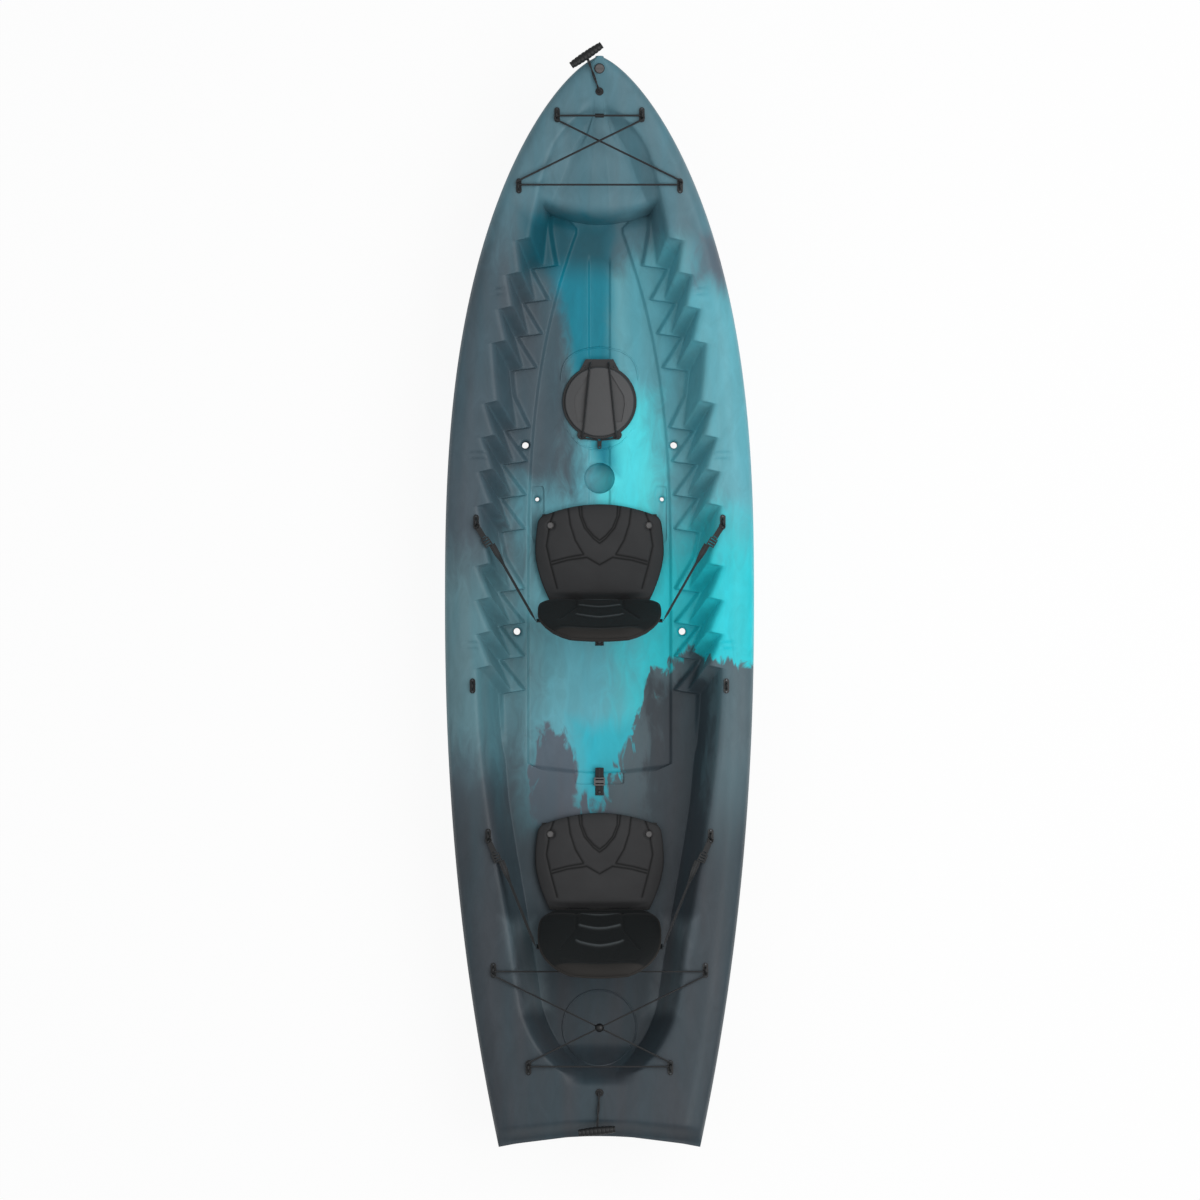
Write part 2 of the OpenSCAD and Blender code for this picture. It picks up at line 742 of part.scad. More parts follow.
module drain_washer() {
    color(black_plastic)
    on_deck(0, plug_y)
        translate([0, 0, bushing_t + seat_gap])
            difference() {
                cylinder(d = plug_d - 1, h = washer_t);
                translate([0, 0, -1])
                    cylinder(d = drain_bore + 0.6, h = washer_t + 2);
            }
}

module drain_plug() {
    slot_w = 4;
    slot_d = 2.5;
    color(grey_plastic)
    on_deck(0, plug_y)
        translate([0, 0, bushing_t + washer_t + 2 * seat_gap])
            difference() {
                union() {
                    rotate_extrude()
                        polygon([
                            [0, 0], [plug_d / 2, 0], [plug_d / 2, plug_t - 1.5],
                            [plug_d / 2 - 2, plug_t], [0, plug_t]
                        ]);
                    translate([0, 0, -bushing_l])
                        cylinder(d = drain_bore - 2 * plug_gap, h = bushing_l + 1);
                }
                translate([-plug_d, -slot_w / 2, plug_t - slot_d])
                    cube([2 * plug_d, slot_w, 2 * slot_d]);
            }
}

// Carry handles: a ball-ended cord that swings in its grommet, and a ribbed barrel on the cord's end
function rope_foot(y) = [0, y, deck_z(0, y) + seat_gap + rope_pivot_h];
function rope_tip(y, turn, z) =
    let (f = rope_foot(y), run = sqrt(rope_l * rope_l - (z - f[2]) * (z - f[2])))
    [-run * sin(turn), y + run * cos(turn), z];
bow_grip_z = gunwale_z(half_l - 20) + grip_d / 2 - 2;
stern_grip_z = gunwale_z(stern_rope_y - rope_l + transom_hollow / 2) + grip_d / 2 + 1;
bow_tip = rope_tip(bow_rope_y, bow_rope_turn, bow_grip_z);
stern_tip = rope_tip(stern_rope_y, stern_rope_turn, stern_grip_z);

module handle_grip(foot, tip, turn) {
    ribs = 9;
    rib_d = 1.2;
    end_share = 0.78;
    steps = 4 * ribs;
    function barrel(t) = grip_d / 2 * (1 - (1 - end_share) * pow(2 * t - 1, 2));
    color(black_plastic)
    difference() {
        translate(tip)
            rotate([0, 90, turn])
                rotate_extrude()
                    polygon([
                        [0, -grip_l / 2],
                        for (i = [0:steps])
                            let (t = i / steps, groove = (i % 4 == 2) ? rib_d : 0)
                            [barrel(t) - groove, grip_l * (t - 0.5)],
                        [0, grip_l / 2]
                    ]);
        rod(mix(foot, tip, 0.5), mix(foot, tip, 1.5), rope_d + 0.8);
    }
}

module handle_cord(foot, tip) {
    color(black_plastic)
    union() {
        translate(foot)
            sphere(d = rope_ball_d);
        rod(foot, tip + (grip_d / 2 - 1) * unit(tip - foot), rope_d);
    }
}

module handle_grommet(y) {
    color(black_plastic)
    on_deck(0, y)
        rotate_extrude()
            polygon([
                [grommet_bore / 2, -wall - 3], [grommet_bore / 2 + grommet_t, -wall - 3],
                [grommet_bore / 2 + grommet_t, 0], [grommet_d / 2, 0],
                [grommet_d / 2 - 1, grommet_t], [grommet_bore / 2 + 1, grommet_t],
                [grommet_bore / 2, grommet_t - 1]
            ]);
}

module bow_handle_grip() {
    handle_grip(rope_foot(bow_rope_y), bow_tip, grip_bow_turn);
}

module bow_handle_cord() {
    handle_cord(rope_foot(bow_rope_y), bow_tip);
}

module bow_handle_grommet() {
    handle_grommet(bow_rope_y);
}

module stern_handle_grip() {
    handle_grip(rope_foot(stern_rope_y), stern_tip, grip_stern_turn);
}

module stern_handle_cord() {
    handle_cord(rope_foot(stern_rope_y), stern_tip);
}

module stern_handle_grommet() {
    handle_grommet(stern_rope_y);
}

// Pad eyes: base, two legs and an arch along the hull, with two screws
module pad_eye() {
    difference() {
        union() {
            translate([-eye_w / 2, (eye_w - eye_l) / 2, 0])
                cube([eye_w, eye_l - eye_w, eye_t]);
            for (s = [-1, 1]) {
                translate([0, s * (eye_l - eye_w) / 2, 0])
                    cylinder(d = eye_w, h = eye_t);
                translate([0, s * eye_r, eye_t / 2])
                    cylinder(d = eye_bar, h = eye_leg + eye_t / 2);
            }
            translate([0, 0, eye_t + eye_leg])
                rotate([90, 0, 90])
                    rotate_extrude(angle = 180)
                        translate([eye_r, 0])
                            circle(d = eye_bar);
        }
        for (s = [-1, 1])
            translate([0, s * eye_screw_x, -1])
                cylinder(d = screw_d, h = eye_t + 2);
    }
}

module pad_eye_screws() {
    head_t = 2.2;
    for (s = [-1, 1])
        translate([0, s * eye_screw_x, 0]) {
            cylinder(d = screw_d - 0.4, h = eye_t + 1);
            translate([0, 0, eye_t + 0.1])
                cylinder(d1 = screw_head_d, d2 = screw_head_d - 2, h = head_t);
        }
}

module on_eyes(places) {
    for (p = places, side = [-1, 1])
        on_deck(side * p[0], p[1])
            children();
}

strap_eyes = [for (i = [0:2]) [strap_eye_x(i), strap_eye_y[i]]];
module bow_pad_eyes() {
    color(black_plastic)
    on_eyes(bow_eyes)
        pad_eye();
}

module bow_pad_eye_screws() {
    color(steel)
    on_eyes(bow_eyes)
        pad_eye_screws();
}

module stern_pad_eyes() {
    color(black_plastic)
    on_eyes(stern_eyes)
        pad_eye();
}

module stern_pad_eye_screws() {
    color(steel)
    on_eyes(stern_eyes)
        pad_eye_screws();
}

module seat_pad_eyes() {
    color(black_plastic)
    on_eyes(strap_eyes)
        pad_eye();
}

module seat_pad_eye_screws() {
    color(steel)
    on_eyes(strap_eyes)
        pad_eye_screws();
}

// Bungees: one cord a well, from the joiner through the forward eyes, crossed to the aft eyes and
// back along the aft line. In each eye it turns round one leg.
arc_steps = 6;
cross_lift = 4;
span_step = 90;
function leg_arc(p, side, leg, from, to, d) =
    let (r = eye_bar / 2 + d / 2 + 1.5 * seat_gap)
    [for (k = [0:arc_steps])
        let (t = mix(from, to, k / arc_steps))
        deck_pt(side * p[0], p[1], [side * r * cos(t), leg + r * sin(t), cord_h])];
function bungee(fore, aft, d) =
    let (
        turn = atan2(fore[1] - aft[1], fore[0] + aft[0]),
        fore_out = leg_arc(fore, 1, -eye_r, 90, turn - 90, d),
        aft_in = leg_arc(aft, -1, eye_r, 90 - turn, -90, d),
        aft_out = leg_arc(aft, 1, eye_r, -90, 90 - turn, d),
        fore_in = leg_arc(fore, -1, -eye_r, turn - 90, 90, d),
        a = fore_out[arc_steps],
        b = aft_in[0],
        middle = mix(a, b, a[0] / (a[0] - b[0]))
    )
    [
        [1, fore_out[0][1], fore_out[0][2]],
        each fore_out,
        middle + [0, 0, cross_lift],
        each aft_in,
        each aft_out,
        middle - [0, 0, cross_lift],
        each fore_in,
        [-1, fore_out[0][1], fore_out[0][2]]
    ];
function split(p, step) = [
    p[0],
    for (i = [1:len(p) - 1])
        let (n = ceil(norm(p[i] - p[i - 1]) / step))
        for (k = [1:n]) mix(p[i - 1], p[i], k / n)
];
bow_route = bungee(bow_eyes[0], bow_eyes[1], bow_cord_d);
stern_route = bungee(stern_eyes[0], stern_eyes[1], stern_cord_d);
joiner_l = 26;
joiner_wall = 2.5;
joiner_gap = 0.4;

module bungee_joiner(route, d) {
    translate([-joiner_l / 2, route[0][1], route[0][2]])
        rotate([0, 90, 0])
            difference() {
                cylinder(d = d + 2 * joiner_gap + 2 * joiner_wall, h = joiner_l);
                translate([0, 0, -1])
                    cylinder(d = d + 2 * joiner_gap, h = joiner_l + 2);
            }
}

module bow_bungee() {
    color(black_plastic)
    cord(split(bow_route, span_step), bow_cord_d, 8);
}

module bow_bungee_joiner() {
    color(black_plastic)
    bungee_joiner(bow_route, bow_cord_d);
}

module stern_bungee() {
    color(black_plastic)
    cord(split(stern_route, span_step), stern_cord_d, 8);
}

module stern_bungee_joiner() {
    color(black_plastic)
    bungee_joiner(stern_route, stern_cord_d);
}

// Bead on the stern bungee's crossing, drilled for both strands
module stern_bungee_bead() {
    bead_d = 26;
    bead_bore = stern_cord_d + 1.6;
    crossings = [arc_steps + 2, 3 * arc_steps + 5];
    color(black_plastic)
    difference() {
        translate((stern_route[crossings[0]] + stern_route[crossings[1]]) / 2)
            sphere(d = bead_d);
        for (k = crossings) {
            reach = bead_d * unit(stern_route[k + 1] - stern_route[k - 1]);
            rod(stern_route[k] - reach, stern_route[k] + reach, bead_bore);
        }
    }
}

// Hatch: ring with cord bracket and hook lugs, gasket, lid with finger panels, cords and pull tab
module hatch_ring() {
    lug_r = 14;
    color(grey_plastic)
    translate([0, hatch_y, hatch_z])
        difference() {
            union() {
                rotate_extrude($fn = 96)
                    polygon([
                        [neck_r - neck_t, -neck_l], [neck_r, -neck_l], [neck_r, 0], [hatch_d / 2, 0],
                        [hatch_d / 2, flange_t - 1], [hatch_d / 2 - 1, flange_t], [neck_r - neck_t, flange_t]
                    ]);
                linear_extrude(flange_t)
                    polygon([
                        [-bracket_base_w / 2, neck_r + 2], [bracket_base_w / 2, neck_r + 2],
                        [bracket_w / 2, bracket_y - hatch_y], [-bracket_w / 2, bracket_y - hatch_y]
                    ]);
                for (s = [-1, 1])
                    translate([s * lug_x, lug_y - hatch_y, 0])
                        cylinder(r = lug_r, h = flange_t);
            }
            for (s = [-1, 1])
                translate([s * cord_hole_x, cord_pivot_y - hatch_y, -1])
                    cylinder(d = hatch_cord_d + 1, h = flange_t + 2);
            for (p = ring_screws)
                translate([p[0], p[1], -1])
                    cylinder(d = screw_d, h = flange_t + 2);
        }
}

ring_screws = [
    for (s = [-1, 1]) [s * (bracket_base_w / 2 - 14), cord_pivot_y - hatch_y - 11],
    for (s = [-1, 1]) [s * (lug_x + 6), lug_y - hatch_y - 7]
];

module hatch_ring_screws() {
    head_t = 2;
    color(steel)
    for (p = ring_screws)
        translate([p[0], hatch_y + p[1], hatch_z]) {
            cylinder(d = screw_d - 0.4, h = flange_t + 1);
            translate([0, 0, flange_t + 0.1])
                cylinder(d1 = screw_head_d - 1, d2 = screw_head_d - 3, h = head_t);
        }
}

module hatch_gasket() {
    color(black_plastic)
    translate([0, hatch_y, hatch_z + flange_t + seat_gap])
        difference() {
            cylinder(r = neck_r + 5, h = gasket_t, $fn = 96);
            translate([0, 0, -1])
                cylinder(r = neck_r - 1, h = gasket_t + 2, $fn = 96);
        }
}

module hatch_lid() {
    crown_steps = 6;
    panel_d = 2;
    lid_r = lid_d / 2;
    skirt_r = neck_r - neck_t - skirt_gap;
    skirt_t = 3;
    panel = [[0.33, 0.8], [0.71, 0.18], [0.74, -0.08], [0.65, -0.58], [0.48, -0.6], [0.4, 0]];
    color(grey_plastic)
    translate([0, hatch_y, lid_z])
        difference() {
            rotate_extrude($fn = 96)
                polygon([
                    [0, 0], [skirt_r - skirt_t, 0], [skirt_r - skirt_t, -skirt_l], [skirt_r, -skirt_l],
                    [skirt_r, 0], [lid_r - 1, 0], [lid_r, 1], [lid_r, lid_t - 2], [lid_r - 2, lid_t],
                    for (i = [1:crown_steps])
                        let (t = 1 - i / crown_steps) [(lid_r - 2) * t, lid_t + lid_crown * (1 - t * t)]
                ]);
            for (s = [-1, 1])
                translate([0, 0, lid_t - panel_d])
                    linear_extrude(2 * lid_crown + panel_d)
                        polygon([for (p = panel) [s * p[0] * lid_r, p[1] * lid_r]]);
        }
}

// Each cord rises from the bracket, crosses the lid and comes down by its lug to the pull tab
tab_w = 12;
tab_l = 24;
tab_t = 5;
tab_z = floor_h + hatch_pad_h + seat_gap;
function hatch_route(s) =
    let (
        over = lid_z + lid_t + hatch_cord_d / 2 + 1,
        edge = lid_d / 2,
        fore_x = cord_hole_x + 2,
        aft_x = lug_x - 3
    )
    [
        [s * cord_hole_x, cord_pivot_y, cord_pivot_z],
        [s * fore_x, hatch_y + edge + 1, over],
        [s * mix(fore_x, aft_x, 0.25), hatch_y + edge / 2, over + 0.75 * lid_crown],
        [s * mix(fore_x, aft_x, 0.5), hatch_y, over + lid_crown],
        [s * mix(fore_x, aft_x, 0.75), hatch_y - edge / 2, over + 0.75 * lid_crown],
        [s * aft_x, hatch_y - edge + 8, over],
        [s * lug_x, lug_y - 10, hatch_z + flange_t + hatch_cord_d],
        [s * (tab_w / 4 + 0.5), tab_y + hatch_cord_d / 2 + seat_gap, tab_z + tab_t - 1]
    ];

module hatch_bungee() {
    color(black_plastic)
    for (s = [-1, 1])
        cord(rounded(hatch_route(s), 12), hatch_cord_d, 8);
}

module hatch_pull_tab() {
    color(black_plastic)
    translate([0, tab_y, tab_z])
        difference() {
            union() {
                translate([-tab_w / 2, tab_w / 2 - tab_l, 0])
                    cube([tab_w, tab_l - tab_w / 2, tab_t]);
                translate([0, tab_w / 2 - tab_l, 0])
                    cylinder(d = tab_w, h = tab_t);
            }
            translate([0, tab_w / 2 - tab_l, -1])
                cylinder(d = tab_w / 2, h = tab_t + 2);
        }
}

// Floor anchor straps: webbing under a ladder buckle, screwed down at the aft end
module anchor_straps() {
    color(black_plastic)
    for (a = anchor_ends)
        translate([0, a[0], a[1] + seat_gap])
            difference() {
                translate([-anchor_w / 2, -anchor_l, 0])
                    cube([anchor_w, anchor_l, anchor_t]);
                translate([0, 10 - anchor_l, -1])
                    cylinder(d = screw_d, h = anchor_t + 2);
            }
}

module anchor_buckles() {
    slot = 4;
    color(grey_plastic)
    for (a = anchor_ends)
        translate([-buckle_w / 2, a[0] - anchor_l / 2 - buckle_l / 2, a[1] + anchor_t + 2 * seat_gap])
            difference() {
                cube([buckle_w, buckle_l, buckle_t]);
                for (y = [slot, buckle_l - 2 * slot])
                    translate([slot, y, -1])
                        cube([buckle_w - 2 * slot, slot, buckle_t + 2]);
            }
}

module anchor_screws() {
    head_t = 2.4;
    color(steel)
    for (a = anchor_ends)
        translate([0, a[0] - anchor_l + 10, a[1] + seat_gap]) {
            cylinder(d = screw_d - 0.4, h = anchor_t + 1);
            translate([0, 0, anchor_t + 0.1])
                cylinder(d1 = screw_head_d + 3, d2 = screw_head_d, h = head_t);
        }
}

// Seats. Across a pad, u runs from 0 at the middle to 1 at the side; along it, v from the front.
pad_us = [0, 0.25, 0.5, 0.68, 0.75, 0.79, 0.83, 0.93, 1];
pad_vs = [0, 0.04, 0.14, 0.28, 0.42, 0.51, 0.55, 0.59, 0.72, 0.86, 0.96, 1];
pad_edge_t = 12;
pad_channel_u = 0.79;
pad_channel_v = 0.55;
pad_channel_d = 4;
front_bow = 36;
function seat_half(v) =
    seat_w / 2 * (1 - 0.23 * pow(max(0, (v - 0.45) / 0.55), 1.8) - 0.06 * pow(max(0, (0.45 - v) / 0.45), 2));
function seat_y(i, u, v) = seat_ys[i] - v * seat_l - front_bow * u * u * pow(1 - v, 2);
function groove(t, width) = max(0, 1 - abs(t) / width);
function pad_top(u, v) =
    let (
        crown = (1 - pow(u, 5)) * (1 - pow(abs(2 * v - 1), 10)),
        border = groove(u - pad_channel_u, 0.035),
        across = u < pad_channel_u ? groove(v - pad_channel_v, 0.035) : 0,
        seams = max(border, across)
    )
    mix(pad_edge_t, seat_t, crown) - pad_channel_d * seams * crown;
function signed(us) = [for (j = [len(us) - 1:-1:1]) -us[j], each us];

module seat_pad(i) {
    base = seat_base(i) + pan_t + seat_gap;
    under_in = 0.965;
    color(pad_colour)
    difference() {
        sheet(
            [for (v = pad_vs) [for (u = signed(pad_us))
                [u * seat_half(v), seat_y(i, abs(u), v), base + pad_top(abs(u), v)]]],
            [for (v = pad_vs) [for (u = signed(pad_us))
                [under_in * u * seat_half(v), mix(seat_y(i, 0, 0.5), seat_y(i, abs(u), v), under_in), base]]]
        );
        for (s = [-1, 1])
            translate([s * stud_x, seat_ys[i] - stud_y, base]) {
                translate([0, 0, stud_seat])
                    cylinder(d = stud_d + 2, h = seat_t);
                translate([0, 0, -1])
                    cylinder(d = stud_shank + 1, h = seat_t);
            }
    }
}

// Pan under a pad, with two hinge knuckles at its rear
module seat_pan(i) {
    rear_v = 0.98;
    steps = 10;
    knuckle_x = 62;
    knuckle_l = 30;
    front_v = 0.06;
    rim = [for (k = [0:steps])
        let (v = mix(front_v, rear_v, k / steps))
        [seat_half(v) - pan_in, seat_ys[i] - v * seat_l - pan_in]];
    color(black_plastic)
    difference() {
        union() {
            translate([0, 0, seat_base(i)])
                linear_extrude(pan_t)
                    polygon([each rim, for (k = [steps:-1:0]) [-rim[k][0], rim[k][1]]]);
            for (s = [-1, 1])
                translate([s * (knuckle_x + knuckle_l / 2) - knuckle_l / 2, hinge_y(i), 0]) {
                    translate([0, 0, hinge_z(i)])
                        rotate([0, 90, 0])
                            cylinder(r = knuckle_r, h = knuckle_l);
                    translate([0, -knuckle_r, seat_base(i)])
                        cube([knuckle_l, 2 * knuckle_r - 1, hinge_up]);
                }
        }
        translate([-seat_w / 2, hinge_y(i), hinge_z(i)])
            rotate([0, 90, 0])
                cylinder(d = pin_d + 2 * pin_fit, h = seat_w);
    }
}

module hinge_pin(i) {
    pin_l = 190;
    color(steel)
    translate([-pin_l / 2, hinge_y(i), hinge_z(i)])
        rotate([0, 90, 0])
            cylinder(d = pin_d, h = pin_l);
}

module seat_studs(i) {
    stud_t = 4;
    color(grey_plastic)
    for (s = [-1, 1])
        translate([s * stud_x, seat_ys[i] - stud_y, seat_base(i) + pan_t + seat_gap]) {
            cylinder(d = stud_shank, h = stud_seat + 1);
            translate([0, 0, stud_seat + seat_gap])
                cylinder(d1 = stud_d, d2 = stud_d - 5, h = stud_t);
        }
}

// Backrest: curved shell with hinge knuckles and strap lugs, and its pad
module in_back(i) {
    translate([0, hinge_y(i), hinge_z(i)])
        rotate([reclines[i] - 90, 0, 0])
            children();
}

shell_us = [0, 0.2, 0.4, 0.6, 0.8, 0.92, 1];
shell_vs = [0.03, 0.09, 0.13, 0.17, 0.21, 0.26, 0.32, 0.42, 0.6, 0.76, 0.88, 0.95, 0.99];
lug_l = 22;
lug_w = 20;
lug_t = 4;
lug_in = 8;
lug_drop = 2.2;
function shell_half(v) = back_half(v) - shell_in;

module backrest_shell(i) {
    knuckle_x = 30;
    knuckle_l = 32 - knuckle_gap;
    function grid(h) = [for (q = shell_vs) [for (u = signed(shell_us))
        let (v = q * back_h, x = u * shell_half(v)) back_pt(i, x, v, wrap(x, v) + h)]];
    knuckle_mid = knuckle_x + knuckle_l / 2;
    block_l = 0.16 * back_h;
    edge = shell_half(strap_up);
    lug_mid = edge - lug_in + lug_l / 2;
    lug_h = wrap(edge, strap_up) - lug_t / 2 - lug_drop;
    color(black_plastic)
    difference() {
        union() {
            sheet(grid(shell_t / 2), grid(-shell_t / 2));
            in_back(i)
                for (s = [-1, 1]) {
                    translate([s * knuckle_mid - knuckle_l / 2, 0, 0])
                        rotate([0, 90, 0])
                            cylinder(r = knuckle_r, h = knuckle_l);
                    translate([s * knuckle_mid - knuckle_l / 2 + 1, -block_l, 1 - shell_t / 2])
                        cube([knuckle_l - 2, block_l, shell_t]);
                    translate([s * lug_mid - lug_l / 2, -strap_up - lug_w / 2, lug_h])
                        cube([lug_l, lug_w, lug_t]);
                }
        }
        translate([-back_w / 2, hinge_y(i), hinge_z(i)])
            rotate([0, 90, 0])
                cylinder(d = pin_d + 2 * pin_fit, h = back_w);
    }
}

back_us = [0, 0.2, 0.4, 0.46, 0.52, 0.7, 0.86, 0.95, 1];
rib_vs = [0.17, 0.4, 0.64];
rib_half = 0.02;
function rib_rows(r) = [r - rib_half, r, r + rib_half];
back_vs = [
    0.09, 0.12, each rib_rows(rib_vs[0]), 0.23, 0.27, 0.32,
    each rib_rows(rib_vs[1]), each rib_rows(rib_vs[2]), 0.8, 0.88, 0.93, 0.97, 1
];
back_edge_t = 9;
roll_t = 7;
rib_d = 5;
function back_front(u, q) =
    let (
        crown = (1 - pow(u, 6)) * smooth((q - 0.07) / 0.13) * (1 - pow(max(0, (q - 0.6) / 0.4), 8)),
        ribs = max([for (r = rib_vs) groove(q - r, rib_half)]) * (u < 0.5 ? 1 : 0),
        roll = roll_t * smooth((q - 0.88) / 0.05)
    )
    mix(back_edge_t, back_t, max(0, crown)) - rib_d * ribs + roll * (1 - pow(u, 6));

module back_pad(i) {
    base = shell_t / 2 + 1 + seat_gap;
    function grid(front) = [for (q = back_vs) [for (u = signed(back_us))
        let (v = q * back_h, x = u * back_half(v))
        back_pt(i, x, v, wrap(x, v) + base + (front ? back_front(abs(u), q) : 0))]];
    color(back_colour)
    sheet(grid(true), grid(false));
}

// Straps: webbing from the adjuster to the backrest's lug, flat at the adjuster and turned on edge
function eye_leg_at(i, side) =
    let (k = i == 0 ? 0 : 2, x = side * strap_eye_x(k), y = strap_eye_y[k] - eye_r)
    [x, y, deck_z(x, y) + seat_gap + hook_h];
function strap_end(i, side) =
    let (edge = shell_half(strap_up), clear = strap_t / 2 + seat_gap)
    back_pt(i, side * (edge + lug_l - lug_in + clear), strap_up, wrap(edge, strap_up) - lug_drop);
function strap_way(i, side) =
    let (a = eye_leg_at(i, side), b = strap_end(i, side)) unit([b[0] - a[0], b[1] - a[1], 0]);
function strap_turn(i, side) = let (d = strap_way(i, side)) atan2(d[1], d[0]);

module seat_strap(i, side) {
    steps = 10;
    start = eye_leg_at(i, side) + strap_start * strap_way(i, side) - [0, 0, strap_t / 2 + 0.3];
    end = strap_end(i, side);
    path = [for (k = [0:steps])
        let (t = k / steps, flat = mix(start, end, t))
        [flat[0], flat[1], mix(start[2], end[2], smooth(t))]];
    color(black_plastic)
    skin([for (k = [0:steps])
        let (
            t = heading(path, k),
            s = side_of(t),
            u = cross(s, t),
            twist = 90 * smooth((k / steps - 0.1) / 0.4),
            w = strap_w / 2 * (cos(twist) * s + sin(twist) * u),
            n = strap_t / 2 * (cos(twist) * u - sin(twist) * s)
        )
        [for (q = [[1, -1], [1, 1], [-1, 1], [-1, -1]]) path[k] + q[0] * w + q[1] * n]]);
}

module on_strap(i) {
    for (side = [-1, 1])
        translate(eye_leg_at(i, side))
            rotate([0, 0, strap_turn(i, side)])
                children();
}

// Snap hook: a ring round the pad eye's leg, a body and an end bar
module snap_hook() {
    body_start = hook_off + hook_ring_r;
    slot = 3;
    translate([hook_off, 0, 0])
        rotate_extrude()
            translate([hook_ring_r, 0])
                circle(d = hook_bar);
    difference() {
        translate([body_start, -hook_w / 2, -hook_t / 2])
            cube([hook_l - body_start, hook_w, hook_t]);
        translate([hook_l - 2 * slot, 1 - hook_w / 2 + slot / 2, -hook_t])
            cube([slot, hook_w - 2 - slot, 2 * hook_t]);
    }
}

module strap_adjuster() {
    translate([hook_l + 0.4, 0, 0])
        difference() {
            translate([0, -adjuster_w / 2, -adjuster_t / 2])
                cube([adjuster_l, adjuster_w, adjuster_t]);
            for (x = [adjuster_slot, adjuster_l - 2 * adjuster_slot, adjuster_l / 2 - adjuster_slot / 2])
                translate([x, adjuster_slot - adjuster_w / 2, -adjuster_t])
                    cube([adjuster_slot, adjuster_w - 2 * adjuster_slot, 2 * adjuster_t]);
        }
}

module strap_hooks(i) {
    color(black_plastic)
    on_strap(i)
        snap_hook();
}

module strap_adjusters(i) {
    color(black_plastic)
    on_strap(i)
        strap_adjuster();
}

// Front and rear seats
module front_seat_pan() {
    seat_pan(0);
}

module front_seat_pad() {
    seat_pad(0);
}

module front_seat_studs() {
    seat_studs(0);
}

module front_hinge_pin() {
    hinge_pin(0);
}

module front_backrest_shell() {
    backrest_shell(0);
}

module front_back_pad() {
    back_pad(0);
}

module front_strap_port() {
    seat_strap(0, -1);
}

module front_strap_starboard() {
    seat_strap(0, 1);
}

module front_strap_hooks() {
    strap_hooks(0);
}

module front_strap_adjusters() {
    strap_adjusters(0);
}

module rear_seat_pan() {
    seat_pan(1);
}

module rear_seat_pad() {
    seat_pad(1);
}

module rear_seat_studs() {
    seat_studs(1);
}

module rear_hinge_pin() {
    hinge_pin(1);
}

module rear_backrest_shell() {
    backrest_shell(1);
}

module rear_back_pad() {
    back_pad(1);
}

module rear_strap_port() {
    seat_strap(1, -1);
}

module rear_strap_starboard() {
    seat_strap(1, 1);
}

module rear_strap_hooks() {
    strap_hooks(1);
}

module rear_strap_adjusters() {
    strap_adjusters(1);
}

hull_moulding();
deck_moulding();
gunwale_port();
gunwale_starboard();
scupper_tubes();
drain_bushing();
drain_washer();
drain_plug();
bow_handle_grip();
bow_handle_cord();
bow_handle_grommet();
stern_handle_grip();
stern_handle_cord();
stern_handle_grommet();
bow_pad_eyes();
bow_pad_eye_screws();
bow_bungee();
bow_bungee_joiner();
stern_pad_eyes();
stern_pad_eye_screws();
stern_bungee();
stern_bungee_joiner();
stern_bungee_bead();
seat_pad_eyes();
seat_pad_eye_screws();
hatch_ring();
hatch_ring_screws();
hatch_gasket();
hatch_lid();
hatch_bungee();
hatch_pull_tab();
anchor_straps();
anchor_buckles();
anchor_screws();
front_seat_pan();
front_seat_pad();
front_seat_studs();
front_hinge_pin();
front_backrest_shell();
front_back_pad();
front_strap_port();
front_strap_starboard();
front_strap_hooks();
front_strap_adjusters();
rear_seat_pan();
rear_seat_pad();
rear_seat_studs();
rear_hinge_pin();
rear_backrest_shell();
rear_back_pad();
rear_strap_port();
rear_strap_starboard();
rear_strap_hooks();
rear_strap_adjusters();
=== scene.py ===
"""Sit-on-top tandem kayak: moulded skin, padded seats, straps, cords and studio stage."""
import json
import math

import bpy
import numpy as np
from bpy.props import FloatProperty, IntProperty, PointerProperty, StringProperty
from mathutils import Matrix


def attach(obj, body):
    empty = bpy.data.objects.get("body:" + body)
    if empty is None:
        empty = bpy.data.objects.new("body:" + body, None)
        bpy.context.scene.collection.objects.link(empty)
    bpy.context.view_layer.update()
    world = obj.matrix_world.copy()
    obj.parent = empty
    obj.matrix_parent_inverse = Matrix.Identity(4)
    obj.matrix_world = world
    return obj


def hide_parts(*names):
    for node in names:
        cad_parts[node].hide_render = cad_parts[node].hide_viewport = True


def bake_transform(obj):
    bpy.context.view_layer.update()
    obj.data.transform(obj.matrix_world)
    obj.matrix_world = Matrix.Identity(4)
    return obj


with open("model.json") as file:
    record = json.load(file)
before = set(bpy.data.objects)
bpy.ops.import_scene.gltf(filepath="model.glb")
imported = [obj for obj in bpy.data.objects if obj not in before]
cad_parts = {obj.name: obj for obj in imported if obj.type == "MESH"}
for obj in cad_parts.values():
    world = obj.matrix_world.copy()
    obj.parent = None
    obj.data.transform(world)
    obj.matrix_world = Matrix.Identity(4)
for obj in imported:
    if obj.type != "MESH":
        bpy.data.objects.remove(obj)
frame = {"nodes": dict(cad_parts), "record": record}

bl_info = {
    "name": "Tandem Kayak",
    "version": (1, 0, 0),
    "blender": (4, 5, 0),
    "location": "View3D > Sidebar > Kayak",
    "description": "Builds the visible surfaces of a sit-on-top tandem kayak",
    "category": "Add Mesh",
}


def length(name, description, default):
    """A length property in metres."""
    return FloatProperty(name=name, description=description, default=default, unit="LENGTH", precision=4)


def angle(name, description, degrees):
    """An angle property, given in degrees and kept in radians."""
    return FloatProperty(name=name, description=description, default=math.radians(degrees), unit="ROTATION",
                         subtype="ANGLE")


def power(name, description, default):
    """A light's power in watts."""
    return FloatProperty(name=name, description=description, default=default, unit="POWER")


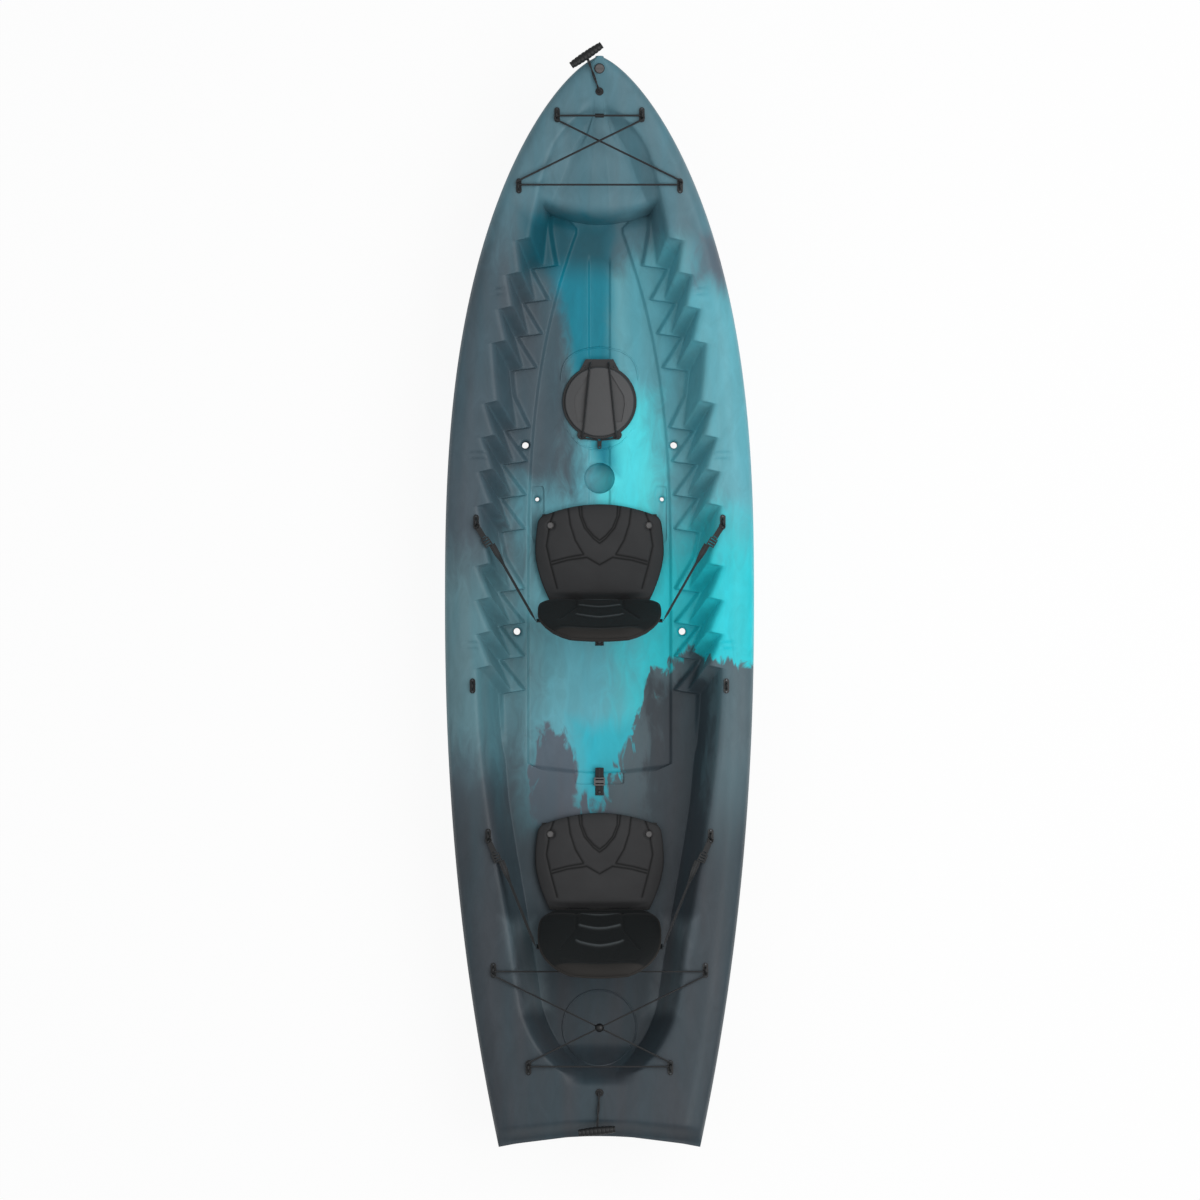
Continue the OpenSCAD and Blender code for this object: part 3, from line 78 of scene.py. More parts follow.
def colour(name, description, default):
    """A colour property, written as an sRGB hex string."""
    return StringProperty(name=name, description=description, default=default)


class KayakHull(bpy.types.PropertyGroup):
    """Lines of the hull and deck."""
    half_length: length("Half length", "Midship to bow tip", 1.6)
    half_beam: length("Half beam", "Centreline to the widest point of the side", 0.455)
    transom_half: length("Half transom", "Centreline to the transom's corner", 0.296)
    transom_hollow: length("Transom hollow", "Forward curve of the transom", 0.032)
    tip_radius: length("Tip", "Half beam at the bow tip", 0.012)
    seam: length("Seam", "Height of the seam amidships", 0.215)
    bow_rise: length("Bow rise", "Rise of the seam to the bow", 0.095)
    stern_rise: length("Stern rise", "Rise of the seam to the stern", 0.035)
    stern_lift: length("Stern lift", "Rise of the keel to the transom", 0.08)
    gunwale_height: length("Gunwale height", "Gunwale deck above the seam", 0.058)
    deck_lip: length("Deck lip", "Least height of the deck over the seam", 0.0047)
    gunwale_width: length("Gunwale width", "Side to cockpit rim", 0.095)
    band: length("Band", "Width of the sloped band along the side", 0.05)
    band_bow: length("Bow band", "Width of the sloped band at the bow", 0.028)
    well_fore: length("Well fore", "Fore end of the long well's rim", 1.466)
    well_aft: length("Well aft", "Aft end of the long well's rim", -1.42)
    bow_well: length("Bow well", "Depth of the bow well", 0.045)
    bow_step: length("Bow step", "Foot of the step up to the bow well", 1.114)
    bow_step_run: length("Bow step run", "Length of the bow step", 0.024)
    rear_step: length("Rear step", "Middle of the step up to the rear platform", -0.506)
    rear_step_run: length("Rear step run", "Length of the rear step", 0.016)
    floor: length("Floor", "Cockpit floor above the keel", 0.095)
    floor_half: length("Half floor", "Half width of the centre floor", 0.211)
    floor_tip: length("Floor tip", "Fore point of the centre floor", 1.241)
    stern_ramp: length("Stern ramp", "Where the stern well's floor begins to rise", -0.927)
    ledge: length("Ledge", "Side ledge above the centre floor", 0.012)
    platform: length("Platform", "Rear seat platform above the floor", 0.012)
    wall_run: length("Wall run", "Horizontal run of the cockpit wall", 0.06)
    channel_half: length("Half channel", "Half width of the centre channel", 0.031)
    channel_depth: length("Channel depth", "Depth of the centre channel", 0.006)
    channel_fore: length("Channel fore", "Fore end of the centre channel", 1.026)
    channel_aft: length("Channel aft", "Aft end of the centre channel", 0.232)
    hatch_y: length("Hatch", "Centre of the round hatch", 0.594)
    hatch_radius: length("Hatch radius", "Radius of the hatch opening", 0.0924)
    hatch_pad: length("Hatch pad", "Radius of the flat pad below the hatch ring", 0.132)
    cup_y: length("Cup", "Centre of the cup holder", 0.368)
    cup_radius: length("Cup radius", "Radius of the cup holder", 0.0455)
    footrest_first: length("First footrest", "Place of the foremost footrest's face", 1.064)
    footrest_pitch: length("Footrest pitch", "Distance between footrests of a group", 0.1)
    footrest_group: length("Footrest group", "Distance between groups of footrests", 0.477)
    footrest_depth: length("Footrest depth", "Depth of a footrest's face at the rim", 0.038)
    footrest_lean: length("Footrest lean", "Aft lean of a footrest's face", 0.075)
    footrest_lead: length("Footrest lead", "Run of the first footrest's rise along the rim", 0.26)
    heel_width: length("Heel width", "Width of a heel ledge", 0.034)
    heel_height: length("Heel height", "Height of a heel ledge", 0.025)
    heel_aft: length("Heel aft", "Aft end of the heel ledges", -0.45)
    row_step: length("Row step", "Distance between plain rows of the skin", 0.0105)


class KayakSeat(bpy.types.PropertyGroup):
    """Sizes of the seat pads and backrests."""
    half_width: length("Half width", "Half width of a seat pad", 0.192)
    length: length("Length", "Length of a seat pad", 0.28)
    tail: length("Tail", "Thin tail of a seat pad under the hinge", 0.01)
    thickness: length("Thickness", "Seat pad at its crown", 0.0295)
    edge: length("Edge", "Seat pad at its edge", 0.012)
    back_half: length("Half back", "Half width of a backrest", 0.178)
    back_height: length("Back height", "Height of a backrest", 0.33)
    back_thickness: length("Back thickness", "Back pad at its crown", 0.026)
    back_gap: length("Back gap", "Hinge line to the underside of a back pad", 0.0043)
    back_wrap: length("Wrap", "Forward wrap of a backrest's sides", 0.02)
    front_y: length("Front seat", "Front edge of the front pad", 0.292)
    rear_y: length("Rear seat", "Front edge of the rear pad", -0.621)
    front_recline: angle("Front recline", "Lean of the front backrest from upright", 20.0)
    rear_recline: angle("Rear recline", "Lean of the rear backrest from upright", 33.0)
    front_base: length("Front base", "Underside of the front pad", 0.0996)
    rear_base: length("Rear base", "Underside of the rear pad", 0.1116)
    hinge_back: length("Hinge back", "Hinge line behind a pad's front edge", 0.292)
    hinge_up: length("Hinge up", "Hinge line above a pad's underside", 0.0277)
    swell_cap: length("Swell", "Furthest that filling may move the cloth", 0.004)
    strap_width: length("Strap width", "Width of the seat webbing", 0.018)
    strap_thickness: length("Strap thickness", "Thickness of the seat webbing", 0.002)
    front_anchor: length("Front anchor", "Fold of the front floor anchor's webbing", -0.046)
    middle_anchor: length("Middle anchor", "Fold of the middle floor anchor's webbing", -0.489)
    anchor_width: length("Anchor width", "Width of the floor anchor webbing", 0.025)
    anchor_thickness: length("Anchor thickness", "Thickness of the floor anchor webbing", 0.0024)


class KayakCord(bpy.types.PropertyGroup):
    """Sizes of the cords."""
    bow_diameter: length("Bow bungee", "Diameter of the bow bungee", 0.006)
    stern_diameter: length("Stern bungee", "Diameter of the stern bungee", 0.005)
    hatch_diameter: length("Hatch cord", "Diameter of the hatch cords", 0.005)
    strand_diameter: length("Handle strand", "Each of a handle cord's two strands", 0.004)
    sides: IntProperty(name="Sides", description="Facets round a cord", default=16)


class KayakColour(bpy.types.PropertyGroup):
    """Colours of the surfaces."""
    slate: colour("Slate", "Main slate colour of the moulding", "#4b5c66")
    slate_deep: colour("Deep slate", "Darker slate of the stern", "#3b444b")
    bow: colour("Bow", "Muted blue-teal of the bow", "#587e8b")
    # Painted shade: this dark teal stands in for the shadow below the bow step
    bow_step_shade: colour("Deep bow", "Dark teal below the bow step", "#175766")
    haze: colour("Haze", "Blue-grey of the port side amidships", "#5c828c")
    mist: colour("Mist", "Pale teal of the floor between the seats", "#66b0bf")
    teal: colour("Teal", "Middle teal of the starboard side", "#62a9b7")
    teal_deep: colour("Deep teal", "Deep teal along the centre", "#0a8298")
    cyan: colour("Cyan", "Bright cyan beside the centre", "#55e0ea")
    cyan_deep: colour("Deep cyan", "Saturated cyan of the starboard side", "#2acbd7")
    wedge: colour("Wedge", "Cyan tongue before the rear seat", "#2fb6c9")
    aft: colour("Aft", "Slate of the starboard quarter", "#53666e")
    # Painted light: this paler slate lightens the shaded walls of the stern well
    wall: colour("Wall", "Paler slate on the walls of the stern well", "#646e75")
    mauve: colour("Mauve", "Grey-mauve streaks", "#5b6672")
    lid: colour("Lid", "Hatch lid", "#474748")
    ring: colour("Ring", "Hatch ring", "#232324")
    black: colour("Black plastic", "Moulded fittings", "#101112")
    grey: colour("Grey plastic", "Plugs, studs and buckles", "#5a5858")
    grip: colour("Grip", "Carry handle grips", "#131415")
    seat: colour("Seat fabric", "Seat pad cloth", "#343435")
    seat_seam: colour("Seat seam", "Sewn lines of the seat pads", "#0c0c0c")
    back: colour("Back fabric", "Back pad cloth", "#0b0f10")
    # Painted highlight: pale grey along the ridge of each raised rib of the back pads
    back_rib_highlight: colour("Back seam", "Raised ribs of the back pads", "#474c4e")
    # Partly painted light: a brown-grey tone, painted lighter where the top roll and piping face up to the
    # light
    back_roll_lit: colour("Roll", "Top roll of the back pads", "#262422")
    web: colour("Webbing", "Straps", "#0c0d0e")
    cord: colour("Cord", "Bungees and cords", "#111315")
    fleck: colour("Fleck", "Fleck in the cords", "#2e3134")
    steel: colour("Steel", "Screws and pins", "#54575a")
    rubber: colour("Rubber", "Washers, gasket and grommets", "#161617")
    floor: colour("Backdrop", "Studio floor", "#f4f4f4")


class KayakStage(bpy.types.PropertyGroup):
    """Light and camera of the studio."""
    floor_half: length("Half floor", "Half width of the studio floor", 40.0)
    floor_drop: length("Floor drop", "Studio floor below the keel", 0.002)
    sky: FloatProperty(name="Sky", description="Strength of the light from all round", default=0.41)
    key: power("Key", "Softbox on the starboard side", 184.0)
    fill: power("Fill", "Softbox on the port side", 36.0)
    lamp_across: length("Lamp across", "Centreline to a softbox", 2.7)
    lamp_height: length("Lamp height", "Height of a softbox", 4.3)
    lamp_lean: angle("Lamp lean", "Lean of a softbox towards the kayak", 33.0)
    lamp_width: length("Lamp width", "Width of a softbox", 4.0)
    lamp_length: length("Lamp length", "Length of a softbox", 7.0)
    camera_x: length("Camera across", "Camera from the centreline", 0.0015)
    camera_y: length("Camera along", "Camera from midship", 0.0073)
    camera_height: length("Camera height", "Camera above the keel", 20.27)
    view_distance: length("View distance", "Distance at which the view's width is given", 20.0)
    view_width: length("View width", "Width of the view", 3.523)


def smooth(t):
    """Cubic ease from 0 to 1."""
    u = np.clip(t, 0, 1)
    return u * u * (3 - 2 * u)


def arc_in(t):
    """Quarter circle from 0 to 1."""
    u = np.clip(t, 0, 1)
    return np.sqrt(1 - (1 - u) ** 2)


def lerp(a, b, t):
    """Straight mix of a and b."""
    return a + (b - a) * t


# Grip grooves across the gunwale: place along the hull, inner and outer end
GRIPS = np.array([(0.913, 0.275, 0.318), (0.433, 0.33, 0.392), (-0.125, 0.351, 0.401)])


def half_beam(hull, y):
    """Half beam: a superellipse forward, a power curve to the transom aft."""
    f = np.clip(y / hull.half_length, -1, 1)
    bow = np.maximum(hull.tip_radius, hull.half_beam * (1 - np.maximum(f, 0) ** 2.6) ** 0.7)
    stern = hull.half_beam - (hull.half_beam - hull.transom_half) * np.maximum(-f, 0) ** 2.15
    return np.where(f > 0, bow, stern)


def seam_z(hull, y):
    """Seam height: rises to both ends by a power of the distance."""
    f = np.minimum(1, np.abs(y) / hull.half_length)
    return hull.seam + np.where(y > 0, hull.bow_rise, hull.stern_rise) * f ** 2.2


def keel_z(hull, y):
    """Keel height: flat amidships, swept up at the bow and lifted at the stern."""
    f = y / hull.half_length
    stem = hull.seam + hull.bow_rise - 0.025
    bow = stem * np.clip((f - 0.5) / 0.5, 0, 1) ** 2.4
    return np.where(f > 0, bow, hull.stern_lift * np.clip((-f - 0.6) / 0.4, 0, 1) ** 2)


def hollow(hull, x, y):
    """Forward shift of the transom: a parabola across, eased in over the last 250 mm."""
    across = 1 - (x / half_beam(hull, y)) ** 2
    return hull.transom_hollow * across * smooth((-y - hull.half_length + 0.25) / 0.25)


def band_edge(hull, y):
    """Inner edge of the sloped band along the side, which narrows towards the bow."""
    b = half_beam(hull, y)
    width = lerp(hull.band, hull.band_bow, smooth((y / hull.half_length - 0.4) / 0.3))
    return b - np.minimum(width, 0.45 * b)


def gunwale_z(hull, y):
    """Gunwale deck: a fixed height over the seam, less at the bow and rounded down at the transom."""
    full = seam_z(hull, y) + hull.gunwale_height * (1 - 0.55 * smooth((y / hull.half_length - 0.7) / 0.3))
    return lerp(full, seam_z(hull, y) + hull.deck_lip, smooth((-y - hull.half_length + 0.06) / 0.06))


def rim_out(hull, y):
    """Half width of the long well at its rim, closed by quarter circles at both ends."""
    ends = arc_in((hull.well_fore - y) / 0.12) * arc_in((y - hull.well_aft) / 0.25)
    margin = hull.gunwale_width + 0.048 * smooth((-y - 0.25) / 0.9)
    return np.maximum(0.3 * half_beam(hull, y), (half_beam(hull, y) - margin) * ends)


def footrests(hull):
    """Places of the twelve footrest faces, bow to stern."""
    k = np.arange(12)
    return hull.footrest_first - hull.footrest_group * (k // 4) - hull.footrest_pitch * (k % 4)


def saw(hull, s, lead, chained):
    """Saw-tooth of the footrests: rises to 1 over the lead, or if chained from the last face, then drops."""
    f = footrests(hull)
    draft = 0.004
    start = np.append(f[0] + lead, f[:-1] - draft) if chained else f + lead
    knots = np.stack([start, f + draft, f - draft], 1)
    knots[1:, 0] = np.minimum(knots[1:, 0], knots[:-1, 2] - 1e-5)
    values = np.tile([0.0, 1.0, 0.0], (12, 1))
    steps = np.array([-0.0025, -0.001, 0.001, 0.0025])
    return np.mean([np.interp(s + d, knots.ravel()[::-1], values.ravel()[::-1]) for d in steps], axis=0)


def rim_saw(hull, s):
    """Saw-tooth of the cockpit's rim, where each tooth rises from the face before it."""
    return saw(hull, s, hull.footrest_lead, True)


def lean(hull, s):
    """Aft shift of all points inboard of the rim, eased in before the footrests and out after them."""
    f = footrests(hull)
    return hull.footrest_lean * smooth((f[0] + 0.23 - s) / 0.15) * smooth((s - f[-1] + 0.23) / 0.22)


def in_cockpit(hull, y):
    """1 between the bow step and the rear platform, eased to 0 at both."""
    return smooth((hull.bow_step - y) / 0.02) * smooth((y - hull.rear_step) / hull.rear_step_run + 0.5)


def well_open(hull, y):
    """1 where the long well is at its full depth, eased to 0 at both ends."""
    return smooth((hull.well_fore + 0.012 - y) / 0.09) * smooth((y - hull.well_aft + 0.01) / 0.13)


def floor_z(hull, y):
    """Floor of the long well: eased ramps and the platform's step on a flat floor, then the bow well."""
    bow_ramp = 0.04 * smooth((y - hull.bow_step + 0.4) / 0.4)
    stern_ramp = 0.03 * smooth((hull.stern_ramp - y) / 0.45)
    platform = hull.platform * smooth((hull.rear_step - y) / hull.rear_step_run + 0.5)
    cockpit = hull.floor + bow_ramp + platform + stern_ramp
    bow = gunwale_z(hull, y) - hull.bow_well
    full = lerp(cockpit, bow, smooth((y - hull.bow_step) / hull.bow_step_run))
    return lerp(gunwale_z(hull, y), full, well_open(hull, y))


def deck_z(hull, x, y):
    """Gunwale or end deck: the gunwale's line, less a camber from the rim out to the band."""
    inner = rim_out(hull, y) - hull.footrest_depth * rim_saw(hull, y) + 0.006
    outer = band_edge(hull, y)
    camber = 0.004 * np.clip((np.abs(x) - inner) / (outer - inner), 0, 1)
    return gunwale_z(hull, y - hollow(hull, x, y)) - camber


def on_deck(hull, x, y, points):
    """Points given from a place on the deck, turned with its slopes along and across and lifted a little."""
    step = 0.005
    d = step * np.array([(1, 0), (-1, 0), (0, 1), (0, -1), (0, 0)])
    z = deck_z(hull, x + d[:, 0], y + d[:, 1])
    a, b = math.atan((z[2] - z[3]) / (2 * step)), -math.atan((z[0] - z[1]) / (2 * step))
    along = points[:, 1] * math.cos(a) - points[:, 2] * math.sin(a)
    up = points[:, 1] * math.sin(a) + points[:, 2] * math.cos(a)
    return np.stack([x + points[:, 0] * math.cos(b) + up * math.sin(b), y + along,
                     z[4] + 0.0003 + up * math.cos(b) - points[:, 0] * math.sin(b)], 1)


def deck_points(hull, s):
    """Thirteen points of each half deck station, centreline to seam, as rows of x, y and z."""
    y = s - lean(hull, s)
    b = half_beam(hull, s)
    # Small steps shrink with the section towards the ends
    k = np.minimum(1, b / 0.08)
    tooth = hull.footrest_depth * rim_saw(hull, s)
    out = rim_out(hull, y)
    rim = rim_out(hull, s) - tooth
    foot = np.maximum(0.45 * out, out - tooth - np.minimum(hull.wall_run, 0.55 * out))
    heel = foot - hull.heel_width * saw(hull, s, hull.footrest_pitch, False)
    zf, zr = floor_z(hull, y), gunwale_z(hull, s)
    zl = zf + hull.ledge * in_cockpit(hull, y)
    zh = zl + hull.heel_height * in_cockpit(hull, y) * smooth((y - hull.heel_aft) / 0.18)
    m = np.minimum(1, foot / 0.04)
    channel = np.minimum(hull.channel_half, 0.25 * foot)
    half = hull.floor_half * (1 - np.clip(y / hull.floor_tip, 0, 1) ** 2.94)
    wide = lerp(0.6 * foot, np.maximum(channel + 0.009, half), in_cockpit(hull, y))
    ledge = np.maximum(channel + 0.008 * m, np.minimum(wide, heel - 0.016 * m))
    riser = y - hull.bow_step - hull.bow_step_run / 2
    dome = 0.01 * smooth(riser / 0.06) * well_open(hull, y)
    curve = 0.03 * smooth(1 - np.abs(riser) / 0.14) + 0.04 * smooth(1 - np.abs(y - hull.rear_step) / 0.1)
    in_channel = smooth((hull.channel_fore - y) / 0.02) * smooth((y - hull.channel_aft) / 0.02)
    zc = zf - hull.channel_depth * in_channel
    inner = [
        (0 * s, zc + dome), (channel - 0.003 * m, zc + dome), (channel + 0.003 * m, zf + 0.9 * dome),
        (ledge - 0.004 * m, zf + 0.6 * dome), (ledge + 0.004 * m, zl + 0.5 * dome), (heel - 0.011 * m, zl),
        (heel, zh), (foot + 0.003 * m, zh + 0.001 * m * well_open(hull, y)),
    ]
    outer = [
        (rim - 0.006 * k, zr - 0.014 * k * well_open(hull, s)), (rim + 0.006 * k, zr),
        (band_edge(hull, s), np.maximum(zr - 0.004 * k, seam_z(hull, s) + hull.deck_lip)),
        (b - 0.006 * k, lerp(seam_z(hull, s), zr, 0.55)), (b, seam_z(hull, s)),
    ]
    points = [np.stack([x, y + hollow(hull, x, y) + curve * (x / foot) ** 2, z], 1) for x, z in inner]
    points += [np.stack([x, s + hollow(hull, x, s), z], 1) for x, z in outer]
    return np.stack(points, 1)


def hull_points(hull, s):
    """Ten points of each half hull station: shares of the half beam and of the side's height."""
    across = np.array([0, 0.22, 0.32, 0.46, 0.6, 0.74, 0.87, 0.95, 0.99, 1])
    up = np.array([0, 0, 0.055, 0.075, 0.05, 0.13, 0.3, 0.55, 0.8, 1])
    x = half_beam(hull, s)[:, None] * across
    z = lerp(keel_z(hull, s)[:, None], seam_z(hull, s)[:, None], up)
    return np.stack([x, s[:, None] + hollow(hull, x, s[:, None]), z], 2)


def filleted(points, reach, extra):
    """Polylines with each corner cut to a quadratic curve of the reach, and extra points on each leg."""
    leg = np.diff(points, axis=1)
    size = np.linalg.norm(leg, axis=2, keepdims=True)
    way = leg / np.maximum(size, 1e-7)
    ts = np.array([0, 0.33, 0.67, 1])[:, None]
    out, last = [points[:, :1]], points[:, 0]
    for j in range(1, points.shape[1]):
        corner = points[:, j]
        tail = j == points.shape[1] - 1
        a = corner if tail else corner - way[:, j - 1] * np.minimum(reach[j - 1], 0.42 * size[:, j - 1])
        mid = (np.arange(extra[j - 1]) + 1)[:, None] / (extra[j - 1] + 1)
        out.append(lerp(last[:, None], a[:, None], mid[None]))
        if tail:
            out.append(corner[:, None])
            break
        b = corner + way[:, j] * np.minimum(reach[j - 1], 0.42 * size[:, j])
        bend = (1 - ts) ** 2 * a[:, None] + 2 * ts * (1 - ts) * corner[:, None] + ts ** 2 * b[:, None]
        out.append(bend)
        last = b
    return np.concatenate(out, 1)


def both_sides(half):
    """Half stations joined to their mirror image, port to starboard."""
    port = half[:, :0:-1] * np.array([-1, 1, 1])
    return np.concatenate([port, half], 1)


def quads(rows, cols, wrap=False, first=0):
    """Faces of a grid of rows by columns; wrap joins the last column to the first."""
    i = np.arange(rows - 1)[:, None]
    j = np.arange(cols if wrap else cols - 1)[None]
    k = (j + 1) % cols
    low, high = i * cols, (i + 1) * cols
    return first + np.stack([low + j, low + k, high + k, high + j], -1).reshape(-1, 4)


def make(name, verts, faces, uv=None):
    """A smooth mesh object from whole arrays of vertices, faces and face-corner UVs."""
    mesh = bpy.data.meshes.new(name)
    mesh.vertices.add(len(verts))
    mesh.vertices.foreach_set("co", np.ascontiguousarray(verts, np.float32).ravel())
    corners = np.concatenate([np.ravel(f) for f in faces]).astype(np.int32)
    sizes = np.concatenate([np.full(len(f), f.shape[1]) for f in faces])
    mesh.loops.add(len(corners))
    mesh.loops.foreach_set("vertex_index", corners)
    mesh.polygons.add(len(sizes))
    mesh.polygons.foreach_set("loop_start", np.concatenate([[0], np.cumsum(sizes)[:-1]]).astype(np.int32))
    mesh.update(calc_edges=True)
    if mesh.validate():
        raise RuntimeError(name + " has broken faces")
    if uv is not None:
        layer = mesh.uv_layers.new(name="UVMap")
        layer.uv.foreach_set("vector", np.ascontiguousarray(uv, np.float32).ravel())
    mesh.shade_smooth()
    obj = bpy.data.objects.new(name, mesh)
    bpy.context.scene.collection.objects.link(obj)
    return obj


def positions(obj):
    """Vertex positions of an object's mesh as an array."""
    co = np.empty(len(obj.data.vertices) * 3, np.float32)
    obj.data.vertices.foreach_get("co", co)
    return co.reshape(-1, 3).astype(float)


def lathe(profile, centre, sides):
    """A closed turned solid: profile rows of radius and height about a vertical axis, ends on the axis."""
    a = np.linspace(0, 2 * np.pi, sides, endpoint=False)
    r, z = np.array(profile).T
    ring = np.stack([r[:, None] * np.cos(a), r[:, None] * np.sin(a), z[:, None] + 0 * a], -1)
    n = len(profile)
    verts = np.concatenate([ring.reshape(-1, 3), [[0, 0, z[0]], [0, 0, z[-1]]]]) + centre
    j = np.arange(sides)
    k = (j + 1) % sides
    low = np.stack([k, j, np.full(sides, n * sides)], 1)
    high = np.stack([(n - 1) * sides + j, (n - 1) * sides + k, np.full(sides, n * sides + 1)], 1)
    return verts, quads(n, sides, True), np.concatenate([low, high])


def prism(centre, half, low, high):
    """A closed upright block whose outline is a superellipse about a centre."""
    sides, corner = 40, 0.25
    a = np.linspace(0, 2 * np.pi, sides, endpoint=False)
    c, s = np.cos(a), np.sin(a)
    x = centre[0] + half[0] * np.sign(c) * np.abs(c) ** corner
    y = centre[1] + half[1] * np.sign(s) * np.abs(s) ** corner
    ring = [np.stack([x, y, 0 * x + z], 1) for z in (low, high)]
    mid = [[*centre, low], [*centre, high]]
    j = np.arange(sides)
    k = (j + 1) % sides
    floor = np.stack([k, j, np.full(sides, 2 * sides)], 1)
    lid = np.stack([sides + j, sides + k, np.full(sides, 2 * sides + 1)], 1)
    return np.concatenate(ring + [mid]), quads(2, sides, True), np.concatenate([floor, lid])


def join(parts):
    """Several vertex and face sets as one."""
    verts, fours, threes, first = [], [], [], 0
    for v, four, three in parts:
        verts.append(v)
        fours.append(four + first)
        threes.append(three + first)
        first += len(v)
    return np.concatenate(verts), [np.concatenate(fours), np.concatenate(threes)]


def settled(obj):
    """Puts the result of an object's modifiers into its mesh."""
    depsgraph = bpy.context.evaluated_depsgraph_get()
    mesh = bpy.data.meshes.new_from_object(obj.evaluated_get(depsgraph))
    obj.modifiers.clear()
    old = obj.data
    obj.data = mesh
    bpy.data.meshes.remove(old)
    mesh.name = obj.name


def carve(obj, parts):
    """Cuts solids, which don't overlap, out of an object with one exact boolean."""
    verts, faces = join(parts)
    cutter = make(obj.name + "_cutter", verts, faces)
    mod = obj.modifiers.new("Bores", "BOOLEAN")
    mod.operation = "DIFFERENCE"
    mod.solver = "EXACT"
    mod.object = cutter
    settled(obj)
    if not obj.data.polygons:
        raise RuntimeError(obj.name + " was lost in its boolean")
    old = cutter.data
    bpy.data.objects.remove(cutter)
    bpy.data.meshes.remove(old)


def path_frames(path):
    """Unit tangents, sides and ups along a path, with the side kept level."""
    t = np.gradient(path, axis=0)
    t /= np.linalg.norm(t, axis=1, keepdims=True)
    s = np.cross(t, [0.0, 0.0, 1.0])
    s /= np.maximum(np.linalg.norm(s, axis=1, keepdims=True), 1e-9)
    return t, s, np.cross(s, t)


def resampled(path, step):
    """The path with even steps along its length."""
    d = np.concatenate([[0], np.cumsum(np.linalg.norm(np.diff(path, axis=0), axis=1))])
    n = max(2, int(round(d[-1] / step)) + 1)
    at = np.linspace(0, d[-1], n)
    return np.stack([np.interp(at, d, path[:, k]) for k in range(3)], 1), at


def swept(name, path, at, ring):
    """Rings of points along a path, closed by fans; UV is once round the ring, and metres along the path."""
    n, m = ring.shape[:2]
    verts = np.concatenate([ring.reshape(-1, 3), path[:1], path[-1:]])
    j = np.arange(m)
    k = (j + 1) % m
    start = np.stack([k, j, np.full(m, n * m)], 1)
    end = np.stack([(n - 1) * m + j, (n - 1) * m + k, np.full(m, n * m + 1)], 1)
    u0, u1 = j / m, (j + 1) / m
    v0, v1 = np.repeat(at[:-1], m), np.repeat(at[1:], m)
    u0, u1 = np.tile(u0, n - 1), np.tile(u1, n - 1)
    side = np.stack([np.stack([u, v], 1) for u, v in ((u0, v0), (u1, v0), (u1, v1), (u0, v1))], 1)
    cap = np.zeros((2 * m * 3, 2))
    return make(name, verts, [quads(n, m, True), np.concatenate([start, end])],
                np.concatenate([side.reshape(-1, 2), cap]))


def tube(name, path, diameter, sides, step=0.002, strands=0):
    """A round cord along a path, whose radius swells where braid strands cross, and its even path."""
    pitch = 0.006
    path, at = resampled(path, step)
    _, s, u = path_frames(path)
    a = np.linspace(0, 2 * np.pi, sides, endpoint=False)[None]
    turn = 2 * np.pi * at[:, None] / pitch
    relief = 1 + 0.05 * np.sin(strands * a + turn) * np.sin(strands * a - turn)
    r = (diameter / 2 * relief)[..., None]
    ring = path[:, None] + r * (np.cos(a)[..., None] * s[:, None] - np.sin(a)[..., None] * u[:, None])
    return swept(name, path, at, ring), path


def ribbon(name, path, wide, thick, width, thickness):
    """Webbing: a flat section with rounded edges along a path, in given width and thickness directions."""
    a = np.linspace(0, 2 * np.pi, 24, endpoint=False)
    out = np.sign(np.cos(a)) * np.abs(np.cos(a)) ** 0.5 * width / 2
    off = np.sign(np.sin(a)) * np.abs(np.sin(a)) ** 0.8 * thickness / 2
    ring = path[:, None] + out[None, :, None] * wide[:, None] - off[None, :, None] * thick[:, None]
    at = np.concatenate([[0], np.cumsum(np.linalg.norm(np.diff(path, axis=0), axis=1))])
    return swept(name, path, at, ring)


def linear(hex_code):
    """An sRGB hex colour as linear RGBA."""
    c = np.array([int(hex_code[i:i + 2], 16) for i in (1, 3, 5)]) / 255
    rgb = np.where(c <= 0.04045, c / 12.92, ((c + 0.055) / 1.055) ** 2.4)
    return (*rgb.tolist(), 1.0)


def per_metre(size_mm):
    """How often a pattern of a size in millimetres repeats in a metre."""
    return 1000 / size_mm


def node(tree, kind, out, inputs=None, **settings):
    """Adds one shader node, with its settings and its inputs as links or values, and returns one output."""
    new = tree.nodes.new(kind)
    for key, value in settings.items():
        setattr(new, key, value)
    for key, value in (inputs or {}).items():
        if isinstance(value, bpy.types.NodeSocket):
            tree.links.new(value, new.inputs[key])
        else:
            new.inputs[key].default_value = value
    return None if out is None else new.outputs[out]


def blank(name):
    """A new material with an empty node tree."""
    mat = bpy.data.materials.new(name)
    mat.use_nodes = True
    mat.node_tree.nodes.clear()
    return mat, mat.node_tree


def surface(tree, inputs):
    """Ends a tree in one Principled shader."""
    shader = node(tree, "ShaderNodeBsdfPrincipled", "BSDF", inputs)
    node(tree, "ShaderNodeOutputMaterial", None, {"Surface": shader})


